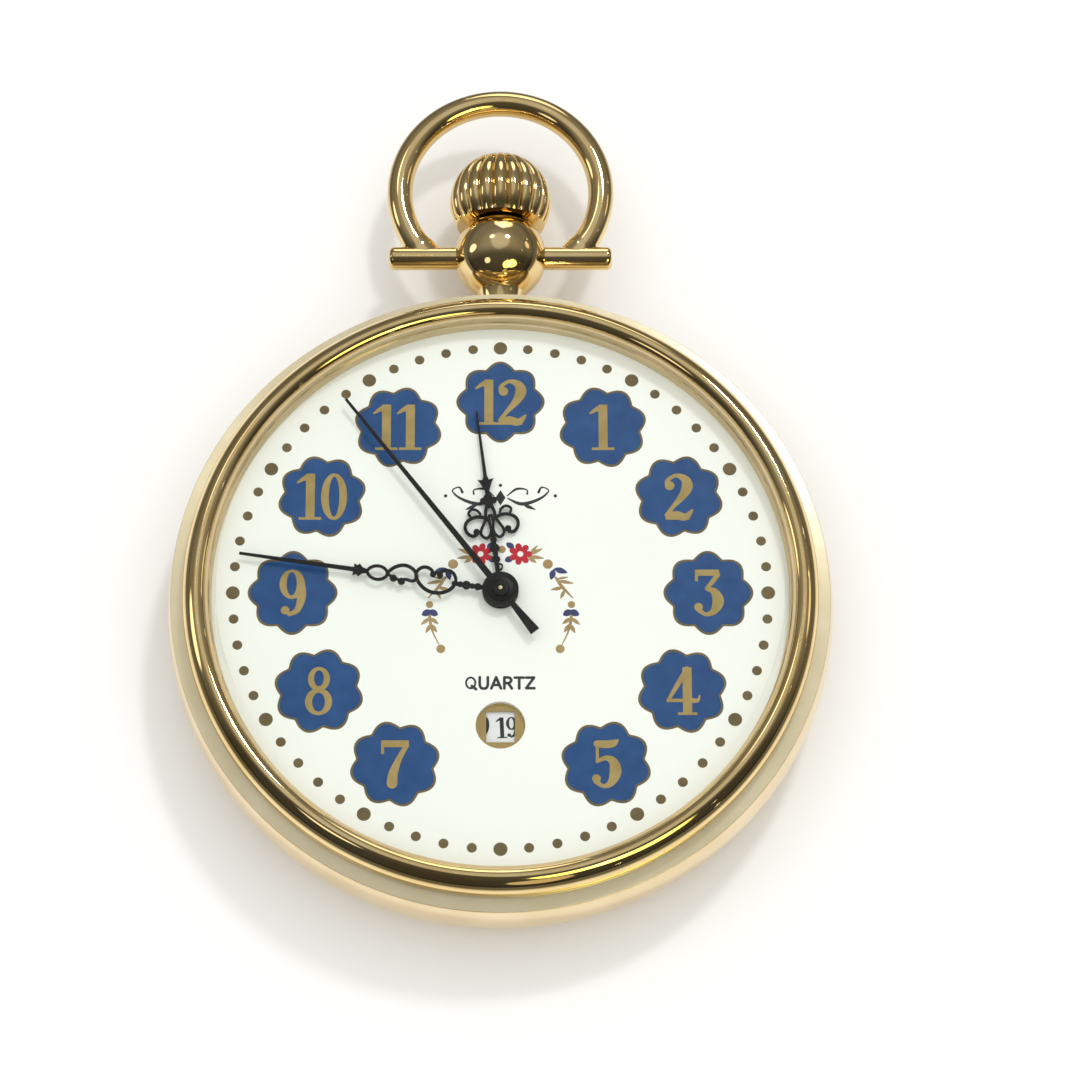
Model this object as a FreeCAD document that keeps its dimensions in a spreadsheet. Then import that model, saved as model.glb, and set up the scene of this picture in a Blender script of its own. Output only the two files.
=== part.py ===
"""Open-face quartz pocket watch with date, as a parametric assembly of separate pieces.

Millimetres. The origin is the centre of the flat face that the watch rests on, +Z goes through the dial,
+Y goes to twelve o'clock and the crown, +X to three o'clock.
"""
import FreeCAD, Part
import math
import os
import re
import Sketcher
from FreeCAD import Placement, Rotation, Vector

# Driving dimensions. Names ending in _level are heights above the resting face.
SIZES = {
    # case
    "case_radius": 24.8,
    "seam_radius": 24.45,
    "back_seam_level": 2.4,
    "bezel_seam_level": 6.7,
    "bore_radius": 22.0,
    "rest_radius": 15.5,
    "back_wall": 0.8,
    "back_corner_level": 1.9,
    "back_rim_radius": 24.2,
    "snap_radius": 22.55,
    "snap_level": 2.9,
    "gasket_level": 3.15,
    "clamp_level": 2.2,
    "clamp_radius": 20.6,
    "neck_radius": 22.7,
    "neck_level": 7.1,
    "back_dish_radius": 19,
    "back_inner_step": 0.3,
    "fit_gap": 0.05,
    # bezel, flange ring and crystal
    "bezel_radius": 23.3,
    "bezel_foot_level": 7.0,
    "bezel_foot_height": 0.2,
    "bezel_curve_radius": 1.62,
    "bezel_lip_radius": 0.75,
    "bezel_top_radius": 22.6,
    "bezel_top_level": 9.3,
    "opening_radius": 21.8,
    "opening_level": 8.95,
    "flange_ring_radius": 22.4,
    "flange_bore_radius": 21.4,
    "crystal_radius": 21.6,
    "crystal_seat_level": 8.2,
    "crystal_edge_level": 8.85,
    "crystal_bevel_radius": 20.95,
    "crystal_bevel_level": 9.25,
    "crystal_top_level": 9.95,
    "crystal_under_level": 8.78,
    "crystal_under_step": 0.1,
    # dial
    "dial_radius": 21.9,
    "dial_level": 7.2,
    "dial_thickness": 0.4,
    "dial_hole_radius": 1.0,
    "date_centre": 10.34,
    "date_hole_radius": 1.825,
    "date_window_width": 2.1,
    "date_window_height": 2.4,
    "dial_foot_radius": 0.35,
    "dial_foot_circle": 12.37,
    "dial_foot_gap": 0.4,
    "mask_half_width": 2.9,
    "mask_reach": 12.4,
    "mask_height": 3.95,
    "mask_thickness": 0.15,
    "washer_inner_level": 6.61,
    "washer_outer_radius": 1.9,
    "washer_thickness": 0.06,
    "date_ring_level": 6.47,
    "date_ring_thickness": 0.13,
    "date_tooth_root": 9.0,
    "date_tooth_tip": 8.5,
    "guard_level": 6.63,
    "guard_thickness": 0.15,
    "guard_radius": 9.0,
    "guard_bore_radius": 2.2,
    # pendant, crown and bow
    "winding_level": 4.7,
    "ball_centre": 28.8,
    "ball_radius": 3.6,
    "ball_neck_radius": 1.5,
    "tube_radius": 1.2,
    "tube_bore_radius": 0.75,
    "crown_base": 31.3,
    "crown_sphere_radius": 3.95,
    "crown_sphere_centre": 2.0,
    "crown_height": 5.95,
    "crown_recess_radius": 2.9,
    "crown_recess_depth": 1.6,
    "crown_bore_radius": 1.7,
    "crown_bore_depth": 2.4,
    "crown_post_depth": 3.8,
    "flute_count": 20,
    "flute_radius": 0.26,
    "crown_travel": 1.6,
    "crown_gasket_height": 0.45,
    "crown_gasket_drop": 0.2,
    "tube_reach_in_crown": 2,
    "bow_axis": 28.55,
    "bow_centre": 34.15,
    "bow_radius": 7.8,
    "bow_wire_radius": 0.98,
    "bow_foot_angle": 44,
    "bar_radius": 0.9,
    "bar_reach": 8.6,
    "bar_inner_end": 1.6,
    "bar_rounding": 0.45,
    "running_gap": 0.03,
    # movement
    "movement_radius": 12.8,
    "holder_level": 3,
    "holder_pocket_radius": 1.9,
    "holder_pocket_circle": 16.8,
    "holder_pocket_level": 3.6,
    "holder_pocket_height": 2.4,
    "holder_bore_radius": 12.85,
    "plate_under_level": 4.9,
    "plate_level": 5.9,
    "ring_seat_level": 6.45,
    "plate_rim_level": 6.65,
    "ring_seat_radius": 8.6,
    "plate_rim_radius": 11.95,
    "bridge_level": 2.9,
    "bridge_thickness": 0.3,
    "pillar_radius": 0.8,
    "screw_head_radius": 0.6,
    "screw_head_height": 0.3,
    "screw_shank_radius": 0.3,
    "board_level": 2.3,
    "board_thickness": 0.2,
    "battery_radius": 3.4,
    "battery_level": 2.2,
    "battery_height": 2.6,
    "stem_radius": 0.45,
    "stem_square": 0.7,
    "stem_pilot_radius": 0.25,
    "stem_tip": 4.6,
    "stem_square_start": 5.4,
    "stem_collar_start": 8.5,
    "stem_groove_start": 8.7,
    "stem_shank_start": 9.25,
    "pivot_hole_radius": 0.13,
    "post_hole_radius": 0.33,
    "seconds_arbor_radius": 0.15,
    "cannon_radius": 0.45,
    "cannon_bore_radius": 0.18,
    "hour_pipe_radius": 0.8,
    "hour_bore_radius": 0.48,
    # hands
    "hour_hand_level": 7.45,
    "minute_hand_level": 7.72,
    "second_hand_level": 7.98,
    "hand_thickness": 0.13,
    "hand_hub_radius": 1.35,
    "hour_hand_length": 14.6,
    "minute_hand_length": 19.6,
    "second_hand_length": 19.2,
    "second_hand_tail": 4.2,
    "hour_hand_angle": 352.9,
    "minute_hand_angle": 278.6,
    "second_hand_angle": 322.7,
}

# Gear pairs: module and tooth counts. The hands turn 60 and 720 times slower than the seconds wheel.
TRAIN_MODULE = 0.1
CENTRE_MODULE = 6.8 / 72
MINUTE_WORK_MODULE = 0.125
HOUR_WORK_MODULE = 0.12
DATE_MODULE = 0.14
DATE_DAYS = 31
CENTRE_TEETH = 64
TRAIN_TEETH = 60
TRAIN_PINION_TEETH = 8
MOTOR_TEETH = 30
MOTOR_PINION_TEETH = 10
ROTOR_TEETH = 6
CANNON_TEETH = 12
MINUTE_TEETH = 36
MINUTE_PINION_TEETH = 10
HOUR_TEETH = 40
SETTING_TEETH = 20
DATE_PINION_TEETH = 24
DATE_WHEEL_TEETH = 48
DATE_FINGER_LEAD = 50

# Levels and thicknesses inside the movement, above the resting face
WHEEL_THICKNESS = 0.15
SECONDS_WHEEL_LEVEL = 3.65
THIRD_WHEEL_LEVEL = 4.05
CENTRE_WHEEL_LEVEL = 4.45
MOTOR_WHEEL_LEVEL = 3.35
PIVOT_LEVEL = 2.95
PIVOT_LENGTH = 2.3
STAFF_LEVEL = 3.25
STAFF_LENGTH = 1.6
POST_RADIUS = 0.3
STATOR_LEVEL = 3.95
LAMINATION = 0.3


def polar(radius, degrees):
    """A point at a radius, with the angle counted anticlockwise from +X."""
    angle = math.radians(degrees)
    return radius * math.cos(angle), radius * math.sin(angle)


# Places in the movement, seen from the dial
DIAL_FOOT_ANGLES = (35, 215)
THIRD_WHEEL_AT = polar(3.4, 150)
INTERMEDIATE_AT = polar(3.5, -30)
ROTOR_AT = tuple(a + b for a, b in zip(INTERMEDIATE_AT, polar(1.8, -75)))
MINUTE_WHEEL_AT = polar(3.0, 45)
SETTING_WHEEL_AT = tuple(a + b for a, b in zip(MINUTE_WHEEL_AT, polar(3.5, 115)))
DATE_WHEEL_AT = polar(5.04, 200)
BATTERY_AT = (-7.2, -4.7)
BRIDGE_SCREWS = [(1.9, 4.6), (-2.6, -4.0), (5.6, 0.6)]
CIRCUIT_SCREWS = [(4.3, 8.8), (7.5, 0.1)]
CLAMP_SCREW = (-2.6, -6.6)
GUARD_SCREWS = [(6.3, 4.2), (-3.5, 6.0), (2.0, -6.8)]
LEVER_PIVOT = (-3.0, 9.8)
LEVER_ARM = 3.0
COIL_ANGLE = -45
HOLDER_POCKETS = 12
JUMPER_FOOT = (6.9, -2.2)
YOKE_FOOT = (3.3, 9.6)

doc = FreeCAD.newDocument("PocketWatch")
sheet = doc.addObject("Spreadsheet::Sheet", "Sizes")
for row, (alias, value) in enumerate(SIZES.items(), start=1):
    sheet.set("A%d" % row, alias)
    sheet.set("B%d" % row, str(value))
    sheet.setAlias("B%d" % row, alias)
doc.recompute()

SUBPARTS = []


def formula(text):
    """The text of an expression, with each size name pointing at its cell in the sheet."""
    return re.sub(r"[a-z_]+", lambda word: "Sizes." + word[0] if word[0] in SIZES else word[0], str(text))


def size(text):
    """The value of an expression in size names."""
    return float(sheet.evalExpression(formula(text)))


def bind(thing, **links):
    """Ties properties to the sheet: Radius="bore_radius", or Placement_Base_z="dial_level"."""
    for name, text in links.items():
        thing.setExpression(name.replace("_", "."), formula(text))
    return thing


def subpart(thing, name):
    """Names a finished piece, and lists it to be written."""
    thing.Label = name
    SUBPARTS.append(thing)
    return thing


# ---- building blocks ----


def arc_between(start, end, radius, side):
    """An arc between two points; side is 1 for a left turn on the way, -1 for a right turn."""
    middle = (start + end) / 2
    along = end - start
    height = math.sqrt(max(radius * radius - along.Length ** 2 / 4, 0))
    across = Vector(-along.y, along.x, 0).normalize()
    centre = middle + across * height * side
    first, last = (start, end) if side > 0 else (end, start)
    begin = math.atan2(first.y - centre.y, first.x - centre.x)
    finish = math.atan2(last.y - centre.y, last.x - centre.x)
    return Part.ArcOfCircle(Part.Circle(centre, Vector(0, 0, 1), radius), begin, finish)


def outline_sketch(body, plane_role, outline, arcs=None, lift=None):
    """A closed sketch whose corners, and the radii of its arcs, follow the sheet.

    outline is a list of pairs of expressions; arcs maps the number of a side to (radius, turn).
    """
    arcs = arcs or {}
    sketch = body.newObject("Sketcher::SketchObject", body.Name + "Outline")
    plane = next(item for item in body.Origin.OriginFeatures if item.Role == plane_role)
    sketch.AttachmentSupport = [(plane, "")]
    sketch.MapMode = "FlatFace"
    if lift is not None:
        sketch.setExpression("AttachmentOffset.Base.z", formula(lift))
    corners = [Vector(size(across), size(up), 0) for across, up in outline]
    count = len(corners)
    starts = []
    ends = []
    for number, corner in enumerate(corners):
        following = corners[(number + 1) % count]
        if number in arcs:
            radius, turn = arcs[number]
            sketch.addGeometry(arc_between(corner, following, size(radius), turn))
            starts.append(1 if turn > 0 else 2)
            ends.append(2 if turn > 0 else 1)
        else:
            sketch.addGeometry(Part.LineSegment(corner, following))
            starts.append(1)
            ends.append(2)
    for number in range(count):
        following = (number + 1) % count
        sketch.addConstraint(
            Sketcher.Constraint("Coincident", number, ends[number], following, starts[following])
        )
    for number, (across, up) in enumerate(outline):
        point = (number, starts[number])
        for kind, text in (("DistanceX", across), ("DistanceY", up)):
            index = sketch.addConstraint(Sketcher.Constraint(kind, -1, 1, *point, size(text)))
            sketch.setExpression("Constraints[%d]" % index, formula(text))
    for number, (radius, turn) in arcs.items():
        index = sketch.addConstraint(Sketcher.Constraint("Radius", number, size(radius)))
        sketch.setExpression("Constraints[%d]" % index, formula(radius))
    return sketch


def turned(name, outline, arcs=None):
    """A body turned about its own Z axis from an outline of (radius, height) corners."""
    body = doc.addObject("PartDesign::Body", name)
    sketch = outline_sketch(body, "XZ_Plane", outline, arcs)
    feature = body.newObject("PartDesign::Revolution", name + "Turning")
    feature.Profile = sketch
    feature.ReferenceAxis = (sketch, ["V_Axis"])
    feature.Angle = 360
    body.Tip = feature
    return body


def flat_plate(name, outline, level, thickness, corner=None):
    """A flat plate padded up from a level, with its upright edges rounded if a corner radius is given."""
    body = doc.addObject("PartDesign::Body", name)
    sketch = outline_sketch(body, "XY_Plane", outline, lift=level)
    pad = body.newObject("PartDesign::Pad", name + "Pad")
    pad.Profile = sketch
    pad.setExpression("Length", formula(thickness))
    body.Tip = pad
    if corner is not None:
        doc.recompute()
        upright = [
            "Edge%d" % (index + 1)
            for index, edge in enumerate(pad.Shape.Edges)
            if abs(edge.tangentAt(edge.FirstParameter).z) > 0.99
        ]
        rounding = body.newObject("PartDesign::Fillet", name + "Corners")
        rounding.Base = (pad, upright)
        rounding.Radius = corner
        body.Tip = rounding
    return body


def drum(name, radius, level, height, across=0, along=0):
    """An upright cylinder."""
    cylinder = doc.addObject("Part::Cylinder", name)
    bind(cylinder, Radius=radius, Height=height, Placement_Base_z=level)
    bind(cylinder, Placement_Base_x=across, Placement_Base_y=along)
    return cylinder


def spindle(name, radius, start, length, level="winding_level"):
    """A cylinder lying along +Y over the centre line."""
    cylinder = doc.addObject("Part::Cylinder", name)
    cylinder.Placement = Placement(Vector(), Rotation(Vector(1, 0, 0), -90))
    bind(cylinder, Radius=radius, Height=length, Placement_Base_y=start, Placement_Base_z=level)
    return cylinder


def block(name, corner, lengths):
    """A box from its lowest corner and its three lengths."""
    box = doc.addObject("Part::Box", name)
    bind(box, Length=lengths[0], Width=lengths[1], Height=lengths[2])
    bind(box, Placement_Base_x=corner[0], Placement_Base_y=corner[1], Placement_Base_z=corner[2])
    return box


def fused(name, pieces):
    union = doc.addObject("Part::MultiFuse", name)
    union.Shapes = pieces
    union.Refine = True
    return union


def cut(name, base, tools):
    """The base with every tool taken away."""
    tool = tools[0] if len(tools) == 1 else fused(name + "Tools", tools)
    result = doc.addObject("Part::Cut", name)
    result.Base = base
    result.Tool = tool
    return result


def upright_on_stem(body):
    """Turns a body made about +Z so that it lies along +Y on the winding axis."""
    body.Placement = Placement(Vector(), Rotation(Vector(1, 0, 0), -90))
    bind(body, Placement_Base_z="winding_level")
    return body


def shaped(name, shape):
    """A piece whose shape is worked out below rather than by a feature."""
    placed = shape.Placement
    feature = doc.addObject("Part::Feature", name)
    feature.Shape = shape
    feature.Placement = placed
    return subpart(feature, name)


def solid_disc(radius, bottom, height, x=0, y=0):
    return Part.makeCylinder(radius, height, Vector(x, y, bottom))


def united(shapes):
    return shapes[0].fuse(shapes[1:]).removeSplitter() if len(shapes) > 1 else shapes[0]


def toothed(teeth, module, phase, bottom, height, x=0, y=0, bore=None):
    """A spur gear blank: tapered teeth on the pitch circle, one tooth centred at the phase angle in radians."""
    pitch = module * teeth / 2
    tip = pitch + 0.85 * module
    root = pitch - 1.15 * module
    step = 2 * math.pi / teeth
    corners = []
    for tooth in range(teeth):
        middle = phase + tooth * step
        for radius, share in ((root, -0.33), (tip, -0.11), (tip, 0.11), (root, 0.33)):
            angle = middle + share * step
            corners.append(Vector(x + radius * math.cos(angle), y + radius * math.sin(angle), bottom))
    corners.append(corners[0])
    gear = Part.Face(Part.makePolygon(corners)).extrude(Vector(0, 0, height))
    if bore:
        gear = gear.cut(solid_disc(bore, bottom - 1, height + 2, x, y))
    return gear


def lightened(wheel, count, ring, hole, bottom, x, y):
    """A wheel with a ring of round holes through its web."""
    holes = []
    for index in range(count):
        dx, dy = polar(ring, 360 * (index + 0.5) / count)
        holes.append(solid_disc(hole, bottom - 1, 3, x + dx, y + dy))
    return wheel.cut(holes)


def mating_phase(teeth, phase, other_teeth, direction):
    """The phase of a wheel that meshes with another, seen from the other wheel along a direction."""
    return direction + math.pi + (math.pi - (phase - direction) * other_teeth) / teeth


def capsule(start, end, width, bottom, height):
    """A flat bar with round ends."""
    first = Vector(start[0], start[1], bottom)
    last = Vector(end[0], end[1], bottom)
    side = Vector(first.y - last.y, last.x - first.x, 0).normalize() * (width / 2)
    ahead = (last - first).normalize() * (width / 2)
    edges = [
        Part.makeLine(first + side, last + side),
        Part.Arc(last + side, last + ahead, last - side).toShape(),
        Part.makeLine(last - side, first - side),
        Part.Arc(first - side, first - ahead, first + side).toShape(),
    ]
    return Part.Face(Part.Wire(edges)).extrude(Vector(0, 0, height))


# ---- case ----


def bulge(chord, depth):
    """The radius of an arc, from its chord and how far it stands out."""
    return "((%s)^2/4 + (%s)^2)/(2*(%s))" % (chord, depth, depth)


def make_case():
    band_curve = bulge("bezel_seam_level - back_seam_level", "case_radius - seam_radius")
    band = turned(
        "CaseBand",
        [
            ("bore_radius", "gasket_level"),
            ("snap_radius + fit_gap", "gasket_level"),
            ("snap_radius + fit_gap", "back_seam_level"),
            ("seam_radius", "back_seam_level"),
            ("seam_radius", "bezel_seam_level"),
            ("neck_radius", "bezel_seam_level"),
            ("neck_radius", "neck_level"),
            ("bore_radius", "neck_level"),
        ],
        {3: (band_curve, 1)},
    )
    neck_bore = spindle("BandNeckBore", "ball_neck_radius", "bore_radius - 2", "5")
    subpart(cut("BandBored", band, [neck_bore]), "case_middle")

    back = turned(
        "CaseBack",
        [
            ("0", "0"),
            ("rest_radius", "0"),
            ("back_rim_radius", "back_corner_level"),
            ("back_rim_radius", "back_seam_level"),
            ("snap_radius", "back_seam_level"),
            ("snap_radius", "snap_level"),
            ("bore_radius", "snap_level"),
            ("bore_radius", "clamp_level"),
            ("clamp_radius", "clamp_level"),
            ("rest_radius - back_inner_step", "back_wall"),
            ("0", "back_wall"),
        ],
        {1: ("back_dish_radius", 1)},
    )
    subpart(back, "case_back")
    back_gasket = [
        ("bore_radius + fit_gap", "snap_level"),
        ("snap_radius", "snap_level"),
        ("snap_radius", "gasket_level"),
        ("bore_radius + fit_gap", "gasket_level"),
    ]
    subpart(turned("BackGasket", back_gasket), "back_gasket")


def make_bezel_and_crystal():
    bezel = turned(
        "Bezel",
        [
            ("neck_radius", "bezel_seam_level"),
            ("seam_radius + fit_gap", "bezel_seam_level"),
            ("seam_radius + fit_gap", "bezel_seam_level + bezel_foot_height"),
            ("bezel_radius", "bezel_foot_level"),
            ("bezel_top_radius", "bezel_top_level"),
            ("opening_radius", "opening_level"),
            ("opening_radius", "crystal_seat_level"),
            ("flange_ring_radius", "crystal_seat_level"),
            ("flange_ring_radius", "neck_level"),
            ("neck_radius", "neck_level"),
        ],
        {3: ("bezel_curve_radius", 1), 4: ("bezel_lip_radius", 1)},
    )
    subpart(bezel, "bezel")
    flange = [
        ("flange_bore_radius", "dial_level"),
        ("flange_ring_radius", "dial_level"),
        ("flange_ring_radius", "crystal_seat_level"),
        ("flange_bore_radius + fit_gap", "crystal_seat_level"),
    ]
    subpart(turned("FlangeRing", flange), "rehaut_ring")
    gasket = [
        ("crystal_radius", "crystal_seat_level"),
        ("opening_radius", "crystal_seat_level"),
        ("opening_radius", "crystal_edge_level"),
        ("crystal_radius", "crystal_edge_level"),
    ]
    subpart(turned("CrystalGasket", gasket), "crystal_gasket")
    under_edge = "crystal_seat_level + crystal_under_step"
    crystal = turned(
        "Crystal",
        [
            ("0", "crystal_under_level"),
            ("crystal_bevel_radius", under_edge),
            ("crystal_bevel_radius", "crystal_seat_level"),
            ("crystal_radius", "crystal_seat_level"),
            ("crystal_radius", "crystal_edge_level"),
            ("crystal_bevel_radius", "crystal_bevel_level"),
            ("0", "crystal_top_level"),
        ],
        {
            0: (bulge("2*crystal_bevel_radius", "crystal_under_level - (%s)" % under_edge), -1),
            5: (bulge("2*crystal_bevel_radius", "crystal_top_level - crystal_bevel_level"), 1),
        },
    )
    subpart(crystal, "crystal")


# ---- pendant, crown, stem and bow ----


def make_pendant():
    ball = doc.addObject("Part::Sphere", "Ball")
    bind(ball, Radius="ball_radius", Placement_Base_y="ball_centre", Placement_Base_z="winding_level")
    neck = spindle("BallNeck", "ball_neck_radius", "bore_radius + 0.1", "ball_centre - bore_radius")
    solid = fused("BallAndNeck", [ball, neck])
    bore = spindle("BallBore", "tube_radius", "bore_radius", "14")
    sockets = []
    for side in (-1, 1):
        socket = doc.addObject("Part::Cylinder", "BowSocket%d" % (side + 2))
        socket.Placement = Placement(Vector(), Rotation(Vector(0, 1, 0), 90 * side))
        bind(socket, Radius="bar_radius + running_gap", Height="bar_reach")
        bind(
            socket,
            Placement_Base_x="%d*(bar_inner_end - running_gap)" % side,
            Placement_Base_y="bow_axis",
            Placement_Base_z="winding_level",
        )
        sockets.append(socket)
    subpart(cut("BallBored", solid, [bore] + sockets), "pendant")
    tube_length = "crown_base + tube_reach_in_crown - bore_radius - 0.2"
    tube = spindle("TubeOuter", "tube_radius", "bore_radius + 0.2", tube_length)
    tube_bore = spindle("TubeBore", "tube_bore_radius", "bore_radius", "16")
    subpart(cut("TubeBored", tube, [tube_bore]), "crown_tube")


def make_crown():
    """The crown is turned as part of a sphere with a recess below, and its rim is fluted all round."""
    base_radius = "sqrt(crown_sphere_radius^2 - crown_sphere_centre^2)"
    body = turned(
        "CrownBlank",
        [
            ("crown_recess_radius", "crown_base"),
            (base_radius, "crown_base"),
            ("0", "crown_base + crown_height"),
            ("0", "crown_base + crown_post_depth"),
            ("stem_radius", "crown_base + crown_post_depth"),
            ("stem_radius", "crown_base + crown_bore_depth"),
            ("crown_bore_radius", "crown_base + crown_bore_depth"),
            ("crown_bore_radius", "crown_base + crown_recess_depth"),
            ("crown_recess_radius", "crown_base + crown_recess_depth"),
        ],
        {1: ("crown_sphere_radius", 1)},
    )
    upright_on_stem(body)
    doc.recompute()
    fluted = fluted_prism(size("crown_sphere_radius"), size("flute_radius"), int(size("flute_count")))
    fluted.rotate(Vector(), Vector(1, 0, 0), -90)
    fluted.translate(Vector(0, size("crown_base") - 1, size("winding_level")))
    shaped("crown", body.Shape.common(fluted))
    gasket_end = "crown_base + crown_bore_depth - crown_gasket_drop"
    gasket_start = gasket_end + " - crown_gasket_height"
    gasket = [
        ("tube_radius + 0.02", gasket_start),
        ("crown_bore_radius", gasket_start),
        ("crown_bore_radius", gasket_end),
        ("tube_radius + 0.02", gasket_end),
    ]
    subpart(upright_on_stem(turned("CrownGasket", gasket)), "crown_gasket")


def fluted_prism(radius, flute, count):
    """A prism about +Z whose side is a ring of round flutes between narrow ribs."""
    step = 2 * math.pi / count
    edges = []
    for number in range(count):
        points = []
        for share, depth in ((-0.38, 0), (0, flute), (0.38, 0), (0.62, 0)):
            angle = (number + share) * step
            reach = radius + 0.01 - depth
            points.append(Vector(reach * math.cos(angle), reach * math.sin(angle), 0))
        edges.append(Part.Arc(*points[:3]).toShape())
        edges.append(Part.makeLine(points[2], points[3]))
    return Part.Face(Part.Wire(edges)).extrude(Vector(0, 0, 8))


def make_stem():
    """The stem, from its pilot in the main plate out to the crown."""
    pilot = spindle("StemPilot", "stem_pilot_radius", "stem_tip", "stem_square_start - stem_tip + 0.2")
    square = block(
        "StemSquare",
        ("-stem_square/2", "stem_square_start", "winding_level - stem_square/2"),
        ("stem_square", "stem_collar_start - stem_square_start + 0.1", "stem_square"),
    )
    collar_length = "stem_groove_start - stem_collar_start + 0.05"
    collar = spindle("StemCollar", "stem_radius", "stem_collar_start", collar_length)
    groove_length = "stem_shank_start - stem_groove_start + 0.05"
    groove = spindle("StemGroove", "stem_pilot_radius", "stem_groove_start", groove_length)
    shank_length = "crown_base + crown_post_depth - stem_shank_start"
    shank = spindle("StemShank", "stem_radius", "stem_shank_start", shank_length)
    subpart(fused("StemUnion", [pilot, square, collar, groove, shank]), "stem")


def make_bow():
    bars = []
    for side, name in ((-1, "left"), (1, "right")):
        bar = doc.addObject("Part::Cylinder", "Bar" + name.title())
        bar.Placement = Placement(Vector(), Rotation(Vector(0, 1, 0), 90 * side))
        bind(bar, Radius="bar_radius", Height="bar_reach - bar_inner_end")
        bind(
            bar,
            Placement_Base_x="%d*bar_inner_end" % side,
            Placement_Base_y="bow_axis",
            Placement_Base_z="winding_level",
        )
        doc.recompute()
        rounding = doc.addObject("Part::Fillet", "BarEnd" + name.title())
        rounding.Base = bar
        tip = side * size("bar_reach")
        rims = [
            index + 1
            for index, edge in enumerate(bar.Shape.Edges)
            if edge.Closed and abs(edge.BoundBox.XMin - tip) < 0.001 and abs(edge.BoundBox.XMax - tip) < 0.001
        ]
        rounding.Edges = [(index, size("bar_rounding"), size("bar_rounding")) for index in rims]
        subpart(rounding, "bow_pivot_" + name)
        bars.append(rounding)
    ring = doc.addObject("Part::Torus", "BowTorus")
    ring.Placement = Placement(Vector(), Rotation(Vector(0, 0, 1), -90 + size("bow_foot_angle")))
    bind(ring, Radius1="bow_radius", Radius2="bow_wire_radius", Angle3="360 - 2*bow_foot_angle")
    bind(ring, Placement_Base_y="bow_centre", Placement_Base_z="winding_level")
    below = block(
        "BelowBars",
        ("-bar_reach", "bow_axis - 5", "winding_level - 5"),
        ("2*bar_reach", "5", "10"),
    )
    subpart(cut("BowTrimmed", ring, [below] + bars), "bow_ring")


# ---- dial side ----


def make_dial():
    body = doc.addObject("PartDesign::Body", "Dial")
    sketch = body.newObject("Sketcher::SketchObject", "DialOutline")
    plane = next(item for item in body.Origin.OriginFeatures if item.Role == "XY_Plane")
    sketch.AttachmentSupport = [(plane, "")]
    sketch.MapMode = "FlatFace"
    sketch.setExpression("AttachmentOffset.Base.z", formula("dial_level - dial_thickness"))
    circles = (
        ("dial_radius", "0"),
        ("dial_hole_radius", "0"),
        ("date_hole_radius", "-date_centre"),
    )
    for number, (radius, height) in enumerate(circles):
        centre = Vector(0, size(height), 0)
        sketch.addGeometry(Part.Circle(centre, Vector(0, 0, 1), size(radius)))
        for kind, text in (("DistanceX", "0"), ("DistanceY", height)):
            index = sketch.addConstraint(Sketcher.Constraint(kind, -1, 1, number, 3, size(text)))
            sketch.setExpression("Constraints[%d]" % index, formula(text))
        index = sketch.addConstraint(Sketcher.Constraint("Radius", number, size(radius)))
        sketch.setExpression("Constraints[%d]" % index, formula(radius))
    pad = body.newObject("PartDesign::Pad", "DialPad")
    pad.Profile = sketch
    pad.setExpression("Length", formula("dial_thickness"))
    body.Tip = pad
    subpart(body, "dial")
    feet = []
    for number, degrees in enumerate(DIAL_FOOT_ANGLES):
        foot = drum(
            "DialFoot%d" % number,
            "dial_foot_radius",
            "plate_under_level + dial_foot_gap",
            "dial_level - dial_thickness - plate_under_level - dial_foot_gap",
            "dial_foot_circle*cos(%d*1deg)" % degrees,
            "dial_foot_circle*sin(%d*1deg)" % degrees,
        )
        feet.append(foot)
    compound = doc.addObject("Part::Compound", "DialFeet")
    compound.Links = feet
    subpart(compound, "dial_feet")

    sheet_metal = block(
        "MaskSheet",
        ("-mask_half_width", "-mask_reach", "dial_level - dial_thickness - mask_thickness"),
        ("2*mask_half_width", "mask_height", "mask_thickness"),
    )
    window = block(
        "MaskWindow",
        ("-date_window_width/2", "-date_centre - date_window_height/2", "6"),
        ("date_window_width", "date_window_height", "1"),
    )
    subpart(cut("MaskCut", sheet_metal, [window]), "date_mask")


def make_dial_washer():
    """A thin dished washer that presses the hour wheel down from under the dial."""
    washer = turned(
        "DialWasher",
        [
            ("hour_pipe_radius + 0.04", "washer_inner_level"),
            ("hour_pipe_radius + 0.3", "washer_inner_level"),
            ("washer_outer_radius", "dial_level - dial_thickness - washer_thickness"),
            ("washer_outer_radius", "dial_level - dial_thickness"),
            ("washer_outer_radius - 0.3", "dial_level - dial_thickness"),
            ("hour_pipe_radius + 0.04", "washer_inner_level + washer_thickness"),
        ],
    )
    subpart(washer, "dial_washer")


def make_date_ring():
    """A flat ring with one inner tooth for each day."""
    level = size("date_ring_level")
    root = size("date_tooth_root")
    tip = size("date_tooth_tip")
    outer = solid_disc(size("plate_rim_radius - fit_gap"), level, size("date_ring_thickness"))
    step = 2 * math.pi / DATE_DAYS
    corners = []
    for tooth in range(DATE_DAYS):
        middle = (tooth + 0.5) * step + math.pi / 2
        for radius, share in ((root, -0.42), (tip, -0.12), (tip, 0.12), (root, 0.42)):
            angle = middle + share * step
            corners.append(Vector(radius * math.cos(angle), radius * math.sin(angle), level - 1))
    corners.append(corners[0])
    hole = Part.Face(Part.makePolygon(corners)).extrude(Vector(0, 0, 3))
    shaped("date_ring", outer.cut(hole))


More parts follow.
